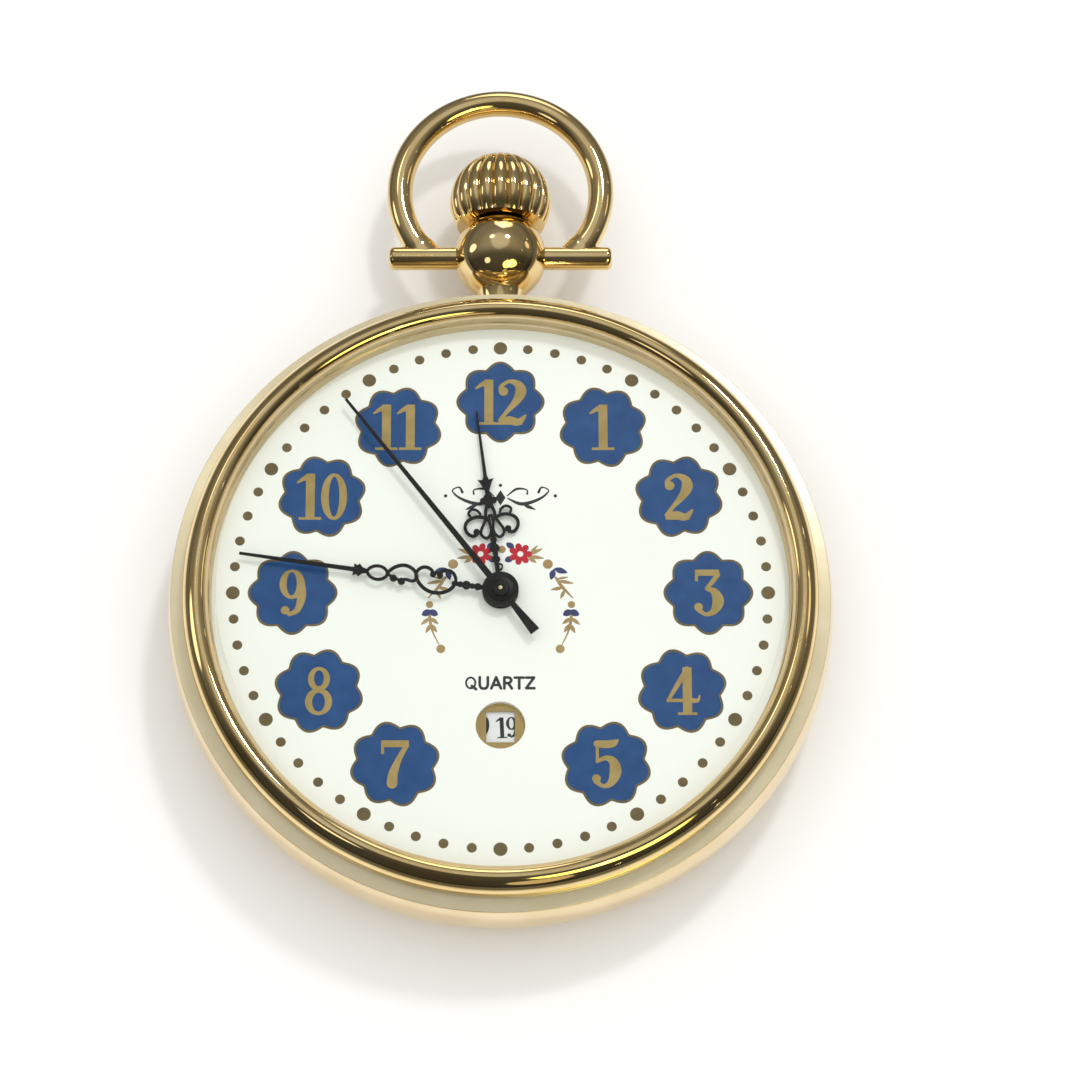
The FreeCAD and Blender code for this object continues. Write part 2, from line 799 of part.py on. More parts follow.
def make_date_drive():
    """The wheel that turns once a day, with the finger that moves the ring."""
    x, y = DATE_WHEEL_AT
    wheel_level = 6.37
    finger_level = 6.46
    hub_radius = 0.7
    direction = math.atan2(y, x)
    phase = mating_phase(DATE_WHEEL_TEETH, 0.0, DATE_PINION_TEETH, direction)
    wheel = toothed(DATE_WHEEL_TEETH, DATE_MODULE, phase, wheel_level, 0.09, x, y)
    wheel = lightened(wheel, 5, 1.9, 0.65, wheel_level, x, y)
    hub = solid_disc(hub_radius, 5.95, wheel_level - 5.95, x, y)
    pivot = solid_disc(POST_RADIUS, 5.45, 0.5, x, y)
    boss = solid_disc(hub_radius, finger_level, 0.12, x, y)
    turn = math.degrees(direction) + DATE_FINGER_LEAD
    dx, dy = polar(3.6, turn)
    finger = capsule((x, y), (x + dx, y + dy), 0.5, finger_level, 0.12)
    shaped("date_driving_wheel", united([wheel, hub, pivot, boss, finger]))


def make_date_jumper():
    """A flat spring whose nose rests between two teeth of the date ring."""
    level = size("date_ring_level")
    foot_x, foot_y = JUMPER_FOOT
    foot = solid_disc(0.75, size("plate_level"), 0.68, foot_x, foot_y)
    step = 360 / DATE_DAYS
    gap_angle = 90 + step * round((12 - 90) / step)
    nose = polar(8.62, gap_angle)
    arm_end = polar(8.05, gap_angle)
    arm = capsule(JUMPER_FOOT, arm_end, 0.3, level, 0.11)
    tip = capsule(arm_end, nose, 0.24, level, 0.11)
    shaped("date_jumper", united([foot, arm, tip]))


def make_date_guard():
    """The cover plate that keeps the date ring down by its inner edge."""
    level = size("guard_level")
    thickness = size("guard_thickness")
    plate = solid_disc(size("guard_radius"), level, thickness)
    middle = solid_disc(size("guard_bore_radius"), level - 1, 3)
    notch = Part.makeBox(8, 4, 3, Vector(-4, -12.3, level - 1))
    stem_side = Part.makeBox(9, 6, 3, Vector(-4.5, 6.9, level - 1))
    holes = [solid_disc(size("screw_shank_radius"), level - 1, 3, x, y) for x, y in GUARD_SCREWS]
    shaped("date_guard", plate.cut([middle, notch, stem_side] + holes))
    screws = [screw(x, y, level + thickness, 1, 1.3, 0.02) for x, y in GUARD_SCREWS]
    shaped("guard_screws", Part.makeCompound(screws))


def screw(x, y, seat, side, length, head=None):
    """A slotted screw; side is 1 with its head up, -1 with its head down, seat the level under the head."""
    height = size("screw_head_height") if head is None else head
    radius = size("screw_head_radius")
    shank = size("screw_shank_radius")
    body = Part.makeCylinder(radius, height, Vector(x, y, seat), Vector(0, 0, side))
    pin = Part.makeCylinder(shank, length, Vector(x, y, seat), Vector(0, 0, -side))
    solid = body.fuse(pin).removeSplitter()
    if head is None:
        top = seat + side * height
        slot = Part.makeBox(2 * radius + 1, 0.16, 0.24, Vector(x - radius - 0.5, y - 0.08, top - 0.12))
        solid = solid.cut(slot)
    return solid


def direction_to(start, end):
    return math.atan2(end[1] - start[1], end[0] - start[0])


def make_main_plate():
    plate = turned(
        "PlateBlank",
        [
            ("0", "plate_under_level"),
            ("movement_radius", "plate_under_level"),
            ("movement_radius", "plate_rim_level"),
            ("plate_rim_radius", "plate_rim_level"),
            ("plate_rim_radius", "ring_seat_level"),
            ("ring_seat_radius", "ring_seat_level"),
            ("ring_seat_radius", "plate_level"),
            ("0", "plate_level"),
        ],
    )
    adds = [plate]
    holes = [
        drum("CannonHole", "cannon_radius + running_gap", "4", "3"),
        spindle("StemPassage", "stem_radius + 0.05", "4.4", "10"),
        block("PinionCavity", ("-1.5", "6.6", "3"), ("3", "1.55", "4")),
        block("LeverPocket", ("-4.6", "8.15", "plate_level"), ("9.2", "3.5", "1")),
        block("LeverSlot", ("-0.6", "8.5", "4"), ("1.2", "2.7", "3")),
    ]
    for number, (x, y) in enumerate(BRIDGE_SCREWS):
        adds.append(
            drum("BridgePillar%d" % number, "pillar_radius", "bridge_level + bridge_thickness", "2", x, y)
        )
        holes.append(drum("BridgeHole%d" % number, "screw_shank_radius", "3", "2.6", x, y))
    for number, (x, y) in enumerate(CIRCUIT_SCREWS):
        adds.append(
            drum("BoardPillar%d" % number, "screw_head_radius", "board_level + board_thickness", "2.6", x, y)
        )
        holes.append(drum("BoardHole%d" % number, "screw_shank_radius", "2", "2.5", x, y))
    x, y = CLAMP_SCREW
    adds.append(drum("ClampPillar", "pillar_radius", "battery_level", "3", x, y))
    holes.append(drum("ClampHole", "screw_shank_radius", "2", "2", x, y))
    for number, (x, y) in enumerate(GUARD_SCREWS):
        adds.append(drum("GuardPillar%d" % number, "pillar_radius", "plate_level - 0.2", "0.93", x, y))
        holes.append(drum("GuardHole%d" % number, "screw_shank_radius", "5.4", "2", x, y))
    pivots = (
        ("ThirdPivot", THIRD_WHEEL_AT, "pivot_hole_radius", "4", "1.4"),
        ("IntermediatePivot", INTERMEDIATE_AT, "pivot_hole_radius", "4", "1.4"),
        ("RotorPivot", ROTOR_AT, "pivot_hole_radius", "4", "1.4"),
        ("MinutePivot", MINUTE_WHEEL_AT, "0.28", "5.3", "2"),
        ("SettingPivot", SETTING_WHEEL_AT, "post_hole_radius", "5.3", "2"),
        ("DatePivot", DATE_WHEEL_AT, "post_hole_radius", "5.3", "2"),
        ("LeverPivotHole", LEVER_PIVOT, "post_hole_radius", "5.3", "2"),
    )
    for name, (x, y), radius, level, height in pivots:
        holes.append(drum(name, radius, level, height, x, y))
    for number, degrees in enumerate(DIAL_FOOT_ANGLES):
        holes.append(
            drum(
                "FootHole%d" % number,
                "dial_foot_radius",
                "plate_under_level + 0.3",
                "3",
                "dial_foot_circle*cos(%d*1deg)" % degrees,
                "dial_foot_circle*sin(%d*1deg)" % degrees,
            )
        )
    blank = fused("PlateWithPillars", adds)
    subpart(cut("PlateCut", blank, holes), "main_plate")


def make_holder():
    ring = turned(
        "HolderRing",
        [
            ("holder_bore_radius", "holder_level"),
            ("clamp_radius - 1.1", "holder_level"),
            ("clamp_radius", "clamp_level"),
            ("dial_radius", "clamp_level"),
            ("dial_radius", "dial_level - dial_thickness"),
            ("holder_bore_radius", "dial_level - dial_thickness"),
        ],
    )
    stem_hole = spindle("HolderStemHole", "tube_bore_radius", "12", "11")
    pockets = []
    for number in range(HOLDER_POCKETS):
        x, y = polar(size("holder_pocket_circle"), 360 * (number + 0.5) / HOLDER_POCKETS)
        name = "HolderPocket%d" % number
        pockets.append(
            drum(name, "holder_pocket_radius", "holder_pocket_level", "holder_pocket_height", x, y)
        )
    subpart(cut("HolderCut", ring, [stem_hole] + pockets), "movement_holder")


def train_wheel(teeth, module, phase, level, x, y):
    """A toothed wheel of the train, with five round holes through it."""
    blank = toothed(teeth, module, phase, level, WHEEL_THICKNESS, x, y)
    return lightened(blank, 5, 1.75, 0.6, level, x, y)


def pivoted_staff(radius, x, y):
    """A staff with a thin pivot at both ends."""
    staff = solid_disc(radius, STAFF_LEVEL, STAFF_LENGTH, x, y)
    pivots = solid_disc(0.1, PIVOT_LEVEL, PIVOT_LENGTH, x, y)
    return united([staff, pivots])


def make_train():
    """Seconds, third, centre and intermediate wheels, and the stepping motor's rotor, under the main plate."""
    tx, ty = THIRD_WHEEL_AT
    ix, iy = INTERMEDIATE_AT
    rx, ry = ROTOR_AT
    to_third = direction_to((0, 0), THIRD_WHEEL_AT)
    to_intermediate = direction_to((0, 0), INTERMEDIATE_AT)
    to_rotor = direction_to(INTERMEDIATE_AT, ROTOR_AT)
    arbor = size("seconds_arbor_radius")

    wheel = train_wheel(TRAIN_TEETH, TRAIN_MODULE, to_intermediate, SECONDS_WHEEL_LEVEL, 0, 0)
    pinion = toothed(TRAIN_PINION_TEETH, TRAIN_MODULE, to_third, SECONDS_WHEEL_LEVEL + WHEEL_THICKNESS, 0.55)
    staff = solid_disc(arbor, PIVOT_LEVEL, 5.4)
    shaped("seconds_wheel", united([wheel, pinion, staff]))

    phase = mating_phase(TRAIN_TEETH, to_third, TRAIN_PINION_TEETH, to_third)
    wheel = train_wheel(TRAIN_TEETH, TRAIN_MODULE, phase, THIRD_WHEEL_LEVEL, tx, ty)
    leaf_level = THIRD_WHEEL_LEVEL + WHEEL_THICKNESS
    pinion = toothed(TRAIN_PINION_TEETH, CENTRE_MODULE, to_third + math.pi, leaf_level, 0.5, tx, ty)
    shaped("third_wheel", united([wheel, pinion, pivoted_staff(0.2, tx, ty)]))

    phase = mating_phase(CENTRE_TEETH, to_third + math.pi, TRAIN_PINION_TEETH, to_third + math.pi)
    bore = size("cannon_bore_radius")
    wheel = train_wheel(CENTRE_TEETH, CENTRE_MODULE, phase, CENTRE_WHEEL_LEVEL, 0, 0)
    tube_level = CENTRE_WHEEL_LEVEL - 0.05
    tube_top = size("minute_hand_level + hand_thickness") + 0.02
    tube = solid_disc(size("cannon_radius"), tube_level, tube_top - tube_level)
    to_minute = direction_to((0, 0), MINUTE_WHEEL_AT)
    leaves = toothed(CANNON_TEETH, MINUTE_WORK_MODULE, to_minute, 5.95, 0.27)
    centre = united([wheel, tube, leaves]).cut(solid_disc(bore, 4, 5))
    shaped("centre_wheel", centre)

    phase = mating_phase(MOTOR_PINION_TEETH, to_intermediate, TRAIN_TEETH, to_intermediate)
    leaf_level = MOTOR_WHEEL_LEVEL + WHEEL_THICKNESS
    pinion = toothed(MOTOR_PINION_TEETH, TRAIN_MODULE, phase, leaf_level, 0.35, ix, iy)
    wheel = toothed(MOTOR_TEETH, TRAIN_MODULE, to_rotor, MOTOR_WHEEL_LEVEL, WHEEL_THICKNESS, ix, iy)
    shaped("intermediate_wheel", united([wheel, pinion, pivoted_staff(0.2, ix, iy)]))

    phase = mating_phase(ROTOR_TEETH, to_rotor, MOTOR_TEETH, to_rotor)
    pinion = toothed(ROTOR_TEETH, TRAIN_MODULE, phase, MOTOR_WHEEL_LEVEL - 0.05, 0.35, rx, ry)
    magnet = solid_disc(0.8, 3.85, 0.5, rx, ry)
    shaped("rotor", united([pinion, magnet, pivoted_staff(0.18, rx, ry)]))


def make_motion_work():
    """The wheels under the dial that turn the hour hand and set the hands."""
    mx, my = MINUTE_WHEEL_AT
    sx, sy = SETTING_WHEEL_AT
    to_minute = direction_to((0, 0), MINUTE_WHEEL_AT)
    to_setting = direction_to(MINUTE_WHEEL_AT, SETTING_WHEEL_AT)

    wheel_phase = mating_phase(MINUTE_TEETH, to_minute, CANNON_TEETH, to_minute)
    level = 5.97
    thickness = 0.13
    wheel = toothed(MINUTE_TEETH, MINUTE_WORK_MODULE, wheel_phase, level, thickness, mx, my)
    back_to_centre = to_minute + math.pi
    pinion = toothed(MINUTE_PINION_TEETH, HOUR_WORK_MODULE, back_to_centre, level + thickness, 0.25, mx, my)
    post = solid_disc(0.25, 5.4, 0.57, mx, my)
    shaped("minute_wheel", united([wheel, pinion, post]))

    phase = mating_phase(SETTING_TEETH, wheel_phase, MINUTE_TEETH, to_setting)
    wheel = toothed(SETTING_TEETH, MINUTE_WORK_MODULE, phase, level, thickness, sx, sy)
    post = solid_disc(POST_RADIUS, 5.4, 0.57, sx, sy)
    shaped("setting_wheel", united([wheel, post]))

    phase = mating_phase(HOUR_TEETH, back_to_centre, MINUTE_PINION_TEETH, back_to_centre)
    hour_level = 6.25
    wheel = toothed(HOUR_TEETH, HOUR_WORK_MODULE, phase, hour_level, 0.11)
    pinion = toothed(DATE_PINION_TEETH, DATE_MODULE, 0.0, hour_level + 0.11, 0.1)
    shoulder = solid_disc(1.05, hour_level + 0.21, 0.14)
    pipe_top = size("hour_hand_level + hand_thickness") + 0.02
    pipe = solid_disc(size("hour_pipe_radius"), hour_level, pipe_top - hour_level)
    bore = solid_disc(size("hour_bore_radius"), 6, 3)
    shaped("hour_wheel", united([wheel, pinion, shoulder, pipe]).cut(bore))


def make_keyless_work():
    """Sliding pinion, setting lever and yoke."""
    level = size("winding_level")
    flanges = []
    for start, depth in ((0, 0.47), (0.79, 0.46)):
        flanges.append(toothed(16, 0.155, 0.0, start, depth))
    core = solid_disc(0.6, 0, 1.25)
    side = size("stem_square") + 0.04
    square = Part.makeBox(side, side, 3, Vector(-side / 2, -side / 2, -1))
    pinion = united(flanges + [core]).cut(square)
    pinion.rotate(Vector(), Vector(1, 0, 0), -90)
    pinion.translate(Vector(0, 6.75, level))
    shaped("sliding_pinion", pinion)

    px, py = LEVER_PIVOT
    half_travel = size("crown_travel") / 2
    angle = -math.degrees(math.asin(half_travel / LEVER_ARM))
    dx, dy = polar(LEVER_ARM, angle)
    lever = capsule((px, py), (px + dx, py + dy), 0.9, 5.95, 0.15)
    pin = solid_disc(0.17, 5.15, 0.8, px + dx, py + dy)
    post = solid_disc(POST_RADIUS, 5.4, 0.55, px, py)
    shaped("setting_lever", united([lever, pin, post]))

    arm = capsule(YOKE_FOOT, (0.2, 7.38), 0.6, 6.14, 0.13)
    finger = Part.makeBox(0.6, 0.2, 0.7, Vector(-0.1, 7.28, 5.44))
    post = solid_disc(0.4, size("plate_level"), 0.3, *YOKE_FOOT)
    shaped("yoke", united([arm, finger, post]))


def make_bridge():
    corners = [(2.2, 5.8), (-4.3, 2.7), (-3.3, -4.9), (4.3, -4.9), (6.9, 0.6), (3.6, 5.2)]
    plate = flat_plate("BridgePlate", corners, "bridge_level", "bridge_thickness", 0.9)
    holes = []
    for number, (x, y) in enumerate(BRIDGE_SCREWS):
        holes.append(drum("BridgeScrewHole%d" % number, "screw_shank_radius", "2", "2", x, y))
    for number, (x, y) in enumerate([(0, 0), THIRD_WHEEL_AT, INTERMEDIATE_AT, ROTOR_AT]):
        radius = "seconds_arbor_radius + running_gap" if number == 0 else "pivot_hole_radius"
        holes.append(drum("BridgeJewel%d" % number, radius, "2", "2", x, y))
    subpart(cut("BridgeCut", plate, holes), "train_bridge")
    seat = size("bridge_level")
    shaped("bridge_screws", Part.makeCompound([screw(x, y, seat, -1, 2.2) for x, y in BRIDGE_SCREWS]))


def in_coil_frame(shape):
    """Turns a shape drawn with its radius along +X so that it lies at the coil's angle."""
    shape.rotate(Vector(), Vector(0, 0, 1), COIL_ANGLE)
    return shape


def make_motor():
    """Stator plate, coil core and coil. The winding has flat flanges at its two ends."""
    corners = [(3.7, -1.8), (7.4, -6.8), (9.0, -6.8), (9.0, -4.5), (7.0, -4.5), (6.2, -1.9)]
    corners += [(x, -y) for x, y in reversed(corners)]
    points = [Vector(x, y, STATOR_LEVEL) for x, y in corners]
    plate = Part.Face(Part.makePolygon(points + [points[0]])).extrude(Vector(0, 0, LAMINATION))
    plate = in_coil_frame(plate).cut(solid_disc(0.95, STATOR_LEVEL - 1, 3, *ROTOR_AT))
    shaped("stator", plate)
    core_level = STATOR_LEVEL - LAMINATION
    core_width = 1.2
    core_side = 7.6
    core = Part.makeBox(core_width, 13.4, LAMINATION, Vector(core_side, -6.7, core_level))
    shaped("coil_core", in_coil_frame(core))
    half_coil = 3.9
    centre = Vector(core_side + core_width / 2, -half_coil, core_level + LAMINATION / 2)
    winding = Part.makeCylinder(1.05, 2 * half_coil, centre, Vector(0, 1, 0))
    flange = 0.35
    ends = (-half_coil - flange, half_coil)
    flanges = [Part.makeBox(2.3, flange, 2.2, Vector(7.05, y, 2.7)) for y in ends]
    slot = Part.makeBox(core_width, 9, LAMINATION, Vector(core_side, -4.5, core_level))
    above = Part.makeBox(6, 12, 3, Vector(5, -6, size("plate_under_level")))
    coil = united([winding] + flanges).cut([slot, above])
    shaped("coil_winding", in_coil_frame(coil))


def make_electronics():
    level = size("board_level")
    top = level + size("board_thickness")
    outline = [(6.9, -0.8), (11.6, -0.8), (11.2, 4.6), (8.8, 8.6), (3.2, 11.0), (3.2, 6.4), (6.9, 2.8)]
    board = flat_plate("BoardPlate", outline, "board_level", "board_thickness")
    holes = []
    for number, (x, y) in enumerate(CIRCUIT_SCREWS):
        holes.append(drum("BoardScrewHole%d" % number, "screw_shank_radius", "2", "1", x, y))
    subpart(cut("BoardCut", board, holes), "circuit_board")
    screws = [screw(x, y, level, -1, 2.0) for x, y in CIRCUIT_SCREWS]
    shaped("circuit_screws", Part.makeCompound(screws))
    shaped("ic_chip", Part.makeBox(1.8, 1.8, 0.45, Vector(5.7, 5.4, top)))
    can = Part.makeCylinder(1.0, 5.6, Vector(9.3, 0.5, top + 1.0), Vector(0, 1, 0))
    can = can.makeFillet(0.25, [edge for edge in can.Edges if edge.Closed])
    shaped("quartz_can", can)


def make_power():
    x, y = BATTERY_AT
    level = size("battery_level")
    height = size("battery_height")
    cup = solid_disc(size("battery_radius"), level, height - 0.35, x, y)
    lid = solid_disc(size("battery_radius") - 0.7, level + height - 0.35, 0.35, x, y)
    shaped("battery", united([cup, lid]))
    top = level + height
    contact = capsule((x, y), (x + 3.2, y + 3.9), 1.6, top, 0.08)
    shaped("battery_contact", contact)
    cx, cy = CLAMP_SCREW
    strap = capsule((cx, cy), (x - 2.6, y + 1.1), 1.9, level - 0.15, 0.15)
    hole = solid_disc(size("screw_shank_radius"), 0, 5, cx, cy)
    shaped("battery_clamp", strap.cut(hole))
    shaped("clamp_screw", screw(cx, cy, level - 0.15, -1, 1.8))


# ---- hands, drawn pointing along +Y and then turned to their angles ----


def ribbon(points, width, end_width=None):
    """A flat band that runs smoothly through the points, with round ends; the width may change along it."""
    end_width = width if end_width is None else end_width
    curve = Part.BSplineCurve()
    curve.interpolate([Vector(x, y, 0) for x, y in points])
    pieces = 8 * (len(points) - 1)
    first, last = curve.FirstParameter, curve.LastParameter
    left = []
    right = []
    for index in range(pieces + 1):
        share = index / pieces
        at = first + (last - first) * share
        tangent = curve.tangent(at)[0]
        side = Vector(-tangent.y, tangent.x, 0) * (width + (end_width - width) * share) / 2
        left.append(curve.value(at) + side)
        right.append(curve.value(at) - side)
    end_tip = curve.value(last) + curve.tangent(last)[0] * end_width / 2
    start_tip = curve.value(first) - curve.tangent(first)[0] * width / 2
    up = Part.BSplineCurve()
    up.interpolate(left)
    down = Part.BSplineCurve()
    down.interpolate(list(reversed(right)))
    edges = [
        up.toShape(),
        Part.Arc(left[-1], end_tip, right[-1]).toShape(),
        down.toShape(),
        Part.Arc(right[0], start_tip, left[0]).toShape(),
    ]
    return Part.Face(Part.Wire(edges)).extrude(Vector(0, 0, size("hand_thickness")))


def ball(x, y, radius):
    """A round blob in the plane of the hand."""
    return solid_disc(radius, 0, size("hand_thickness"), x, y)


def sheet_shape(corners):
    """A flat shape with straight sides, of the hand's thickness."""
    points = [Vector(x, y, 0) for x, y in corners]
    return Part.Face(Part.makePolygon(points + [points[0]])).extrude(Vector(0, 0, size("hand_thickness")))


def mirrored(corners):
    """The right half of an outline, listed upwards, followed by its mirror image."""
    return corners + [(-x, y) for x, y in reversed(corners)]


def hand(name, pieces, hole, level, clock_angle, collet):
    """Fuses the pieces of a hand, bores it, lifts it and turns it clockwise from twelve."""
    hub = ball(0, 0, size("hand_hub_radius"))
    step = Part.makeCylinder(collet[0], collet[1], Vector(0, 0, 0))
    shape = united([hub, step] + pieces).cut(solid_disc(hole, -1, 4))
    shape.rotate(Vector(), Vector(0, 0, 1), -clock_angle)
    shape.translate(Vector(0, 0, level))
    shaped(name, shape)


def make_hour_hand():
    length = size("hour_hand_length")
    pieces = [
        ribbon([(0, 1.0), (0, 4.75)], 0.34),
        ribbon([(0.12, 1.7), (0.36, 1.85), (0.34, 2.1), (0.12, 2.12)], 0.12),
        ball(0, 2.55, 0.3),
        ball(0, 3.0, 0.2),
        ball(0, 3.45, 0.36),
        ball(0, 4.15, 0.24),
        sheet_shape(mirrored([(0.12, 6.7), (0.3, 7.05), (0.2, 7.3)])),
        ball(0.38, 7.3, 0.26),
        ball(-0.38, 7.3, 0.26),
        ball(0, 7.5, 0.34),
        sheet_shape(mirrored([(0.17, 7.5), (0.17, 8.1), (0.42, 8.75), (0.6, 9.02), (0.24, 8.98), (0.13, 9.3)])),
        sheet_shape(mirrored([(0.14, 9.0), (0.07, length)])),
    ]
    for side in (-1, 1):
        teardrop = [(0.08, 6.1), (0.1, 5.2), (0.16, 4.62), (0.5, 4.32), (0.84, 4.62), (0.72, 5.2), (0.34, 5.95)]
        stem = [(0.34, 5.95), (0.32, 6.4), (0.12, 6.95)]
        scroll = [(0.2, 5.75), (0.62, 6.02), (1.3, 6.05), (1.92, 5.6), (1.9, 4.95), (1.5, 4.6), (1.12, 4.82)]
        curl = [(0.75, 6.05), (0.85, 6.5), (1.25, 6.72), (1.58, 6.5), (1.5, 6.2)]
        pieces.append(ribbon([(side * x, y) for x, y in teardrop], 0.2))
        pieces.append(ribbon([(side * x, y) for x, y in stem], 0.24))
        pieces.append(ribbon([(side * x, y) for x, y in scroll], 0.24))
        pieces.append(ribbon([(side * x, y) for x, y in curl], 0.18))
        pieces.append(ball(side * 1.18, 4.9, 0.24))
    hand(
        "hour_hand",
        pieces,
        size("hour_pipe_radius"),
        size("hour_hand_level"),
        size("hour_hand_angle"),
        (1.1, 0.2),
    )


def make_minute_hand():
    length = size("minute_hand_length")
    pieces = [
        ribbon([(0, 1.0), (0, 3.5)], 0.32),
        ball(0, 1.7, 0.27),
        ball(0, 2.12, 0.2),
        ball(0, 2.55, 0.33),
        ball(0, 3.0, 0.22),
        ribbon([(0.02, 3.4), (-0.55, 3.72), (-0.92, 4.5), (-0.86, 5.3), (-0.45, 5.95), (0.0, 6.3)], 0.26),
        ribbon([(0.0, 3.42), (0.5, 3.45), (0.92, 3.9), (0.86, 4.4), (0.5, 4.62)], 0.24),
        ball(0.48, 4.6, 0.23),
        ribbon([(0.0, 6.3), (0.55, 6.32), (0.94, 5.9), (0.88, 5.4), (0.5, 5.12)], 0.24),
        ball(0.48, 5.12, 0.23),
        ribbon([(0.5, 4.6), (0.62, 4.86), (0.5, 5.12)], 0.2),
        ribbon([(0.0, 6.25), (0.58, 6.55), (0.87, 7.25), (0.62, 8.0), (0.0, 8.5)], 0.25),
        ribbon([(0.0, 6.3), (-0.28, 6.6), (-0.22, 7.0), (-0.4, 7.35)], 0.22),
        ball(-0.42, 7.35, 0.27),
        ribbon([(-0.4, 7.4), (-0.2, 7.95), (0.0, 8.5)], 0.2),
        ball(-0.26, 7.98, 0.27),
        ribbon([(0.0, 8.45), (0.46, 8.85), (0.52, 9.35), (0.0, 10.0)], 0.22),
        ribbon([(0.0, 8.45), (-0.46, 8.85), (-0.52, 9.35), (0.0, 10.0)], 0.22),
        sheet_shape(mirrored([(0.1, 9.85), (0.24, 10.35), (0.5, 10.62), (0.34, 10.75)])),
        sheet_shape(mirrored([(0.17, 10.7), (0.34, 10.74), (0.46, 11.02), (0.17, 11.0)])),
        sheet_shape(mirrored([(0.17, 10.8), (0.1, length)])),
    ]
    hand(
        "minute_hand",
        pieces,
        size("cannon_radius"),
        size("minute_hand_level"),
        size("minute_hand_angle"),
        (0.9, 0.2),
    )


def make_second_hand():
    length = size("second_hand_length")
    tail = size("second_hand_tail")
    pieces = [
        sheet_shape(mirrored([(0.25, 0), (0.1, length)])),
        sheet_shape(mirrored([(0.38, -tail), (0.17, -1.0)])),
    ]
    hand(
        "second_hand",
        pieces,
        size("seconds_arbor_radius"),
        size("second_hand_level"),
        size("second_hand_angle"),
        (0.62, 0.26),
    )


# ---- assembly ----

make_case()
make_bezel_and_crystal()
make_pendant()
make_crown()
make_stem()
make_bow()
make_dial()
make_dial_washer()
make_date_ring()
make_date_drive()
make_date_jumper()
make_date_guard()
make_main_plate()
make_holder()
make_train()
make_motion_work()
make_keyless_work()
make_bridge()
make_motor()
make_electronics()
make_power()
make_hour_hand()
make_minute_hand()
make_second_hand()

doc.recompute()
for thing in doc.Objects:
    if "Invalid" in thing.State or "Error" in thing.State:
        raise RuntimeError("%s did not compute: %s" % (thing.Name, thing.State))
for piece in SUBPARTS:
    if piece.Shape.isNull() or not piece.Shape.isValid() or piece.Shape.Volume <= 0:
        raise RuntimeError("%s has no valid shape" % piece.Label)
os.makedirs("parts", exist_ok=True)
for piece in SUBPARTS:
    piece.Shape.exportStep("parts/%s.step" % piece.Label)
print("wrote", len(SUBPARTS), "pieces")
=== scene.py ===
"""Looks of an open-face pocket watch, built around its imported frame.

Lengths are in millimetres until a mesh is made; the origin is the centre of the back, +Z leaves the dial
and +Y points to twelve o'clock.
"""
import math

import bpy
import numpy as np
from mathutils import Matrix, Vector


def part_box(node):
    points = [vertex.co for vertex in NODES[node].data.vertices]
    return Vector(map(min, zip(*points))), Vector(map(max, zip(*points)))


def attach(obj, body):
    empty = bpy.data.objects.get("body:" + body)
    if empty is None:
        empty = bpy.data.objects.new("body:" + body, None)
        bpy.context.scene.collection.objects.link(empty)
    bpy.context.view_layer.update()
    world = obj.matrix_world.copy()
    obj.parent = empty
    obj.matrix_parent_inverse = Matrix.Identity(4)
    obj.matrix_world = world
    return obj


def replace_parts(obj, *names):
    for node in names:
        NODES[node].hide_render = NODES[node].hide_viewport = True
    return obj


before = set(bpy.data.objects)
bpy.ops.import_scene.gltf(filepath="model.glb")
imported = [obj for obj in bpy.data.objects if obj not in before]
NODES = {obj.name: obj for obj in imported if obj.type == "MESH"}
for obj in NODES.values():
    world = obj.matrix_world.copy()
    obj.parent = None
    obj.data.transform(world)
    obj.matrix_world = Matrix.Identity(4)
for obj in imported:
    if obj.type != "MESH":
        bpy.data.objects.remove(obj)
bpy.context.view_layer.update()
ROOT = "watch"
MM = 0.001


def low(node, axis):
    """The lowest coordinate of a CAD node along an axis, in millimetres."""
    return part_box(node)[0][axis] / MM


def high(node, axis):
    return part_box(node)[1][axis] / MM


X, Y, Z = 0, 1, 2
DIAL_TOP = high("dial", Z)
WINDING_LEVEL = (low("pendant", Z) + high("pendant", Z)) / 2
BACK_SEAM = 2.4
BEZEL_SEAM = low("bezel", Z)
SEAM_RADIUS = 24.45
CASE_RADIUS = high("case_middle", X)
BEZEL_RADIUS = 23.3
BEZEL_FOOT = 7.0
OPENING_RADIUS = high("crystal_gasket", X)
CRYSTAL_RADIUS = high("crystal", X)
FLANGE_RADIUS = high("rehaut_ring", X)
FLANGE_BORE = 21.4
BALL_RADIUS = high("pendant", X)
BALL_CENTRE = high("pendant", Y) - BALL_RADIUS
CROWN_BASE = low("crown", Y)
CROWN_TOP = high("crown", Y)
CROWN_RADIUS = high("crown", X)
BAR_AXIS = (low("bow_pivot_left", Y) + high("bow_pivot_left", Y)) / 2
BAR_RADIUS = (high("bow_pivot_left", Y) - low("bow_pivot_left", Y)) / 2
BAR_REACH = high("bow_pivot_right", X)
BAR_INNER = low("bow_pivot_right", X)
BOW_WIRE = (high("bow_ring", Z) - low("bow_ring", Z)) / 2
BOW_RADIUS = 7.8
BOW_CENTRE = high("bow_ring", Y) - BOW_RADIUS - BOW_WIRE
CASE_BORE = 22.0
NECK_RADIUS = 22.7
NECK_TOP = high("case_middle", Z)
CREST_RADIUS = 22.6
FLANGE_TOP = 8.2
GLASS_EDGE = 20.95
THIN_PRINT = 0.012
NUMERAL_CIRCLE = 15.4
NUMERAL_HEIGHT = 3.75
MINUTE_CIRCLE = 19.83
DATE_CIRCLE = 10.34

# ---------------------------------------------------------------- materials


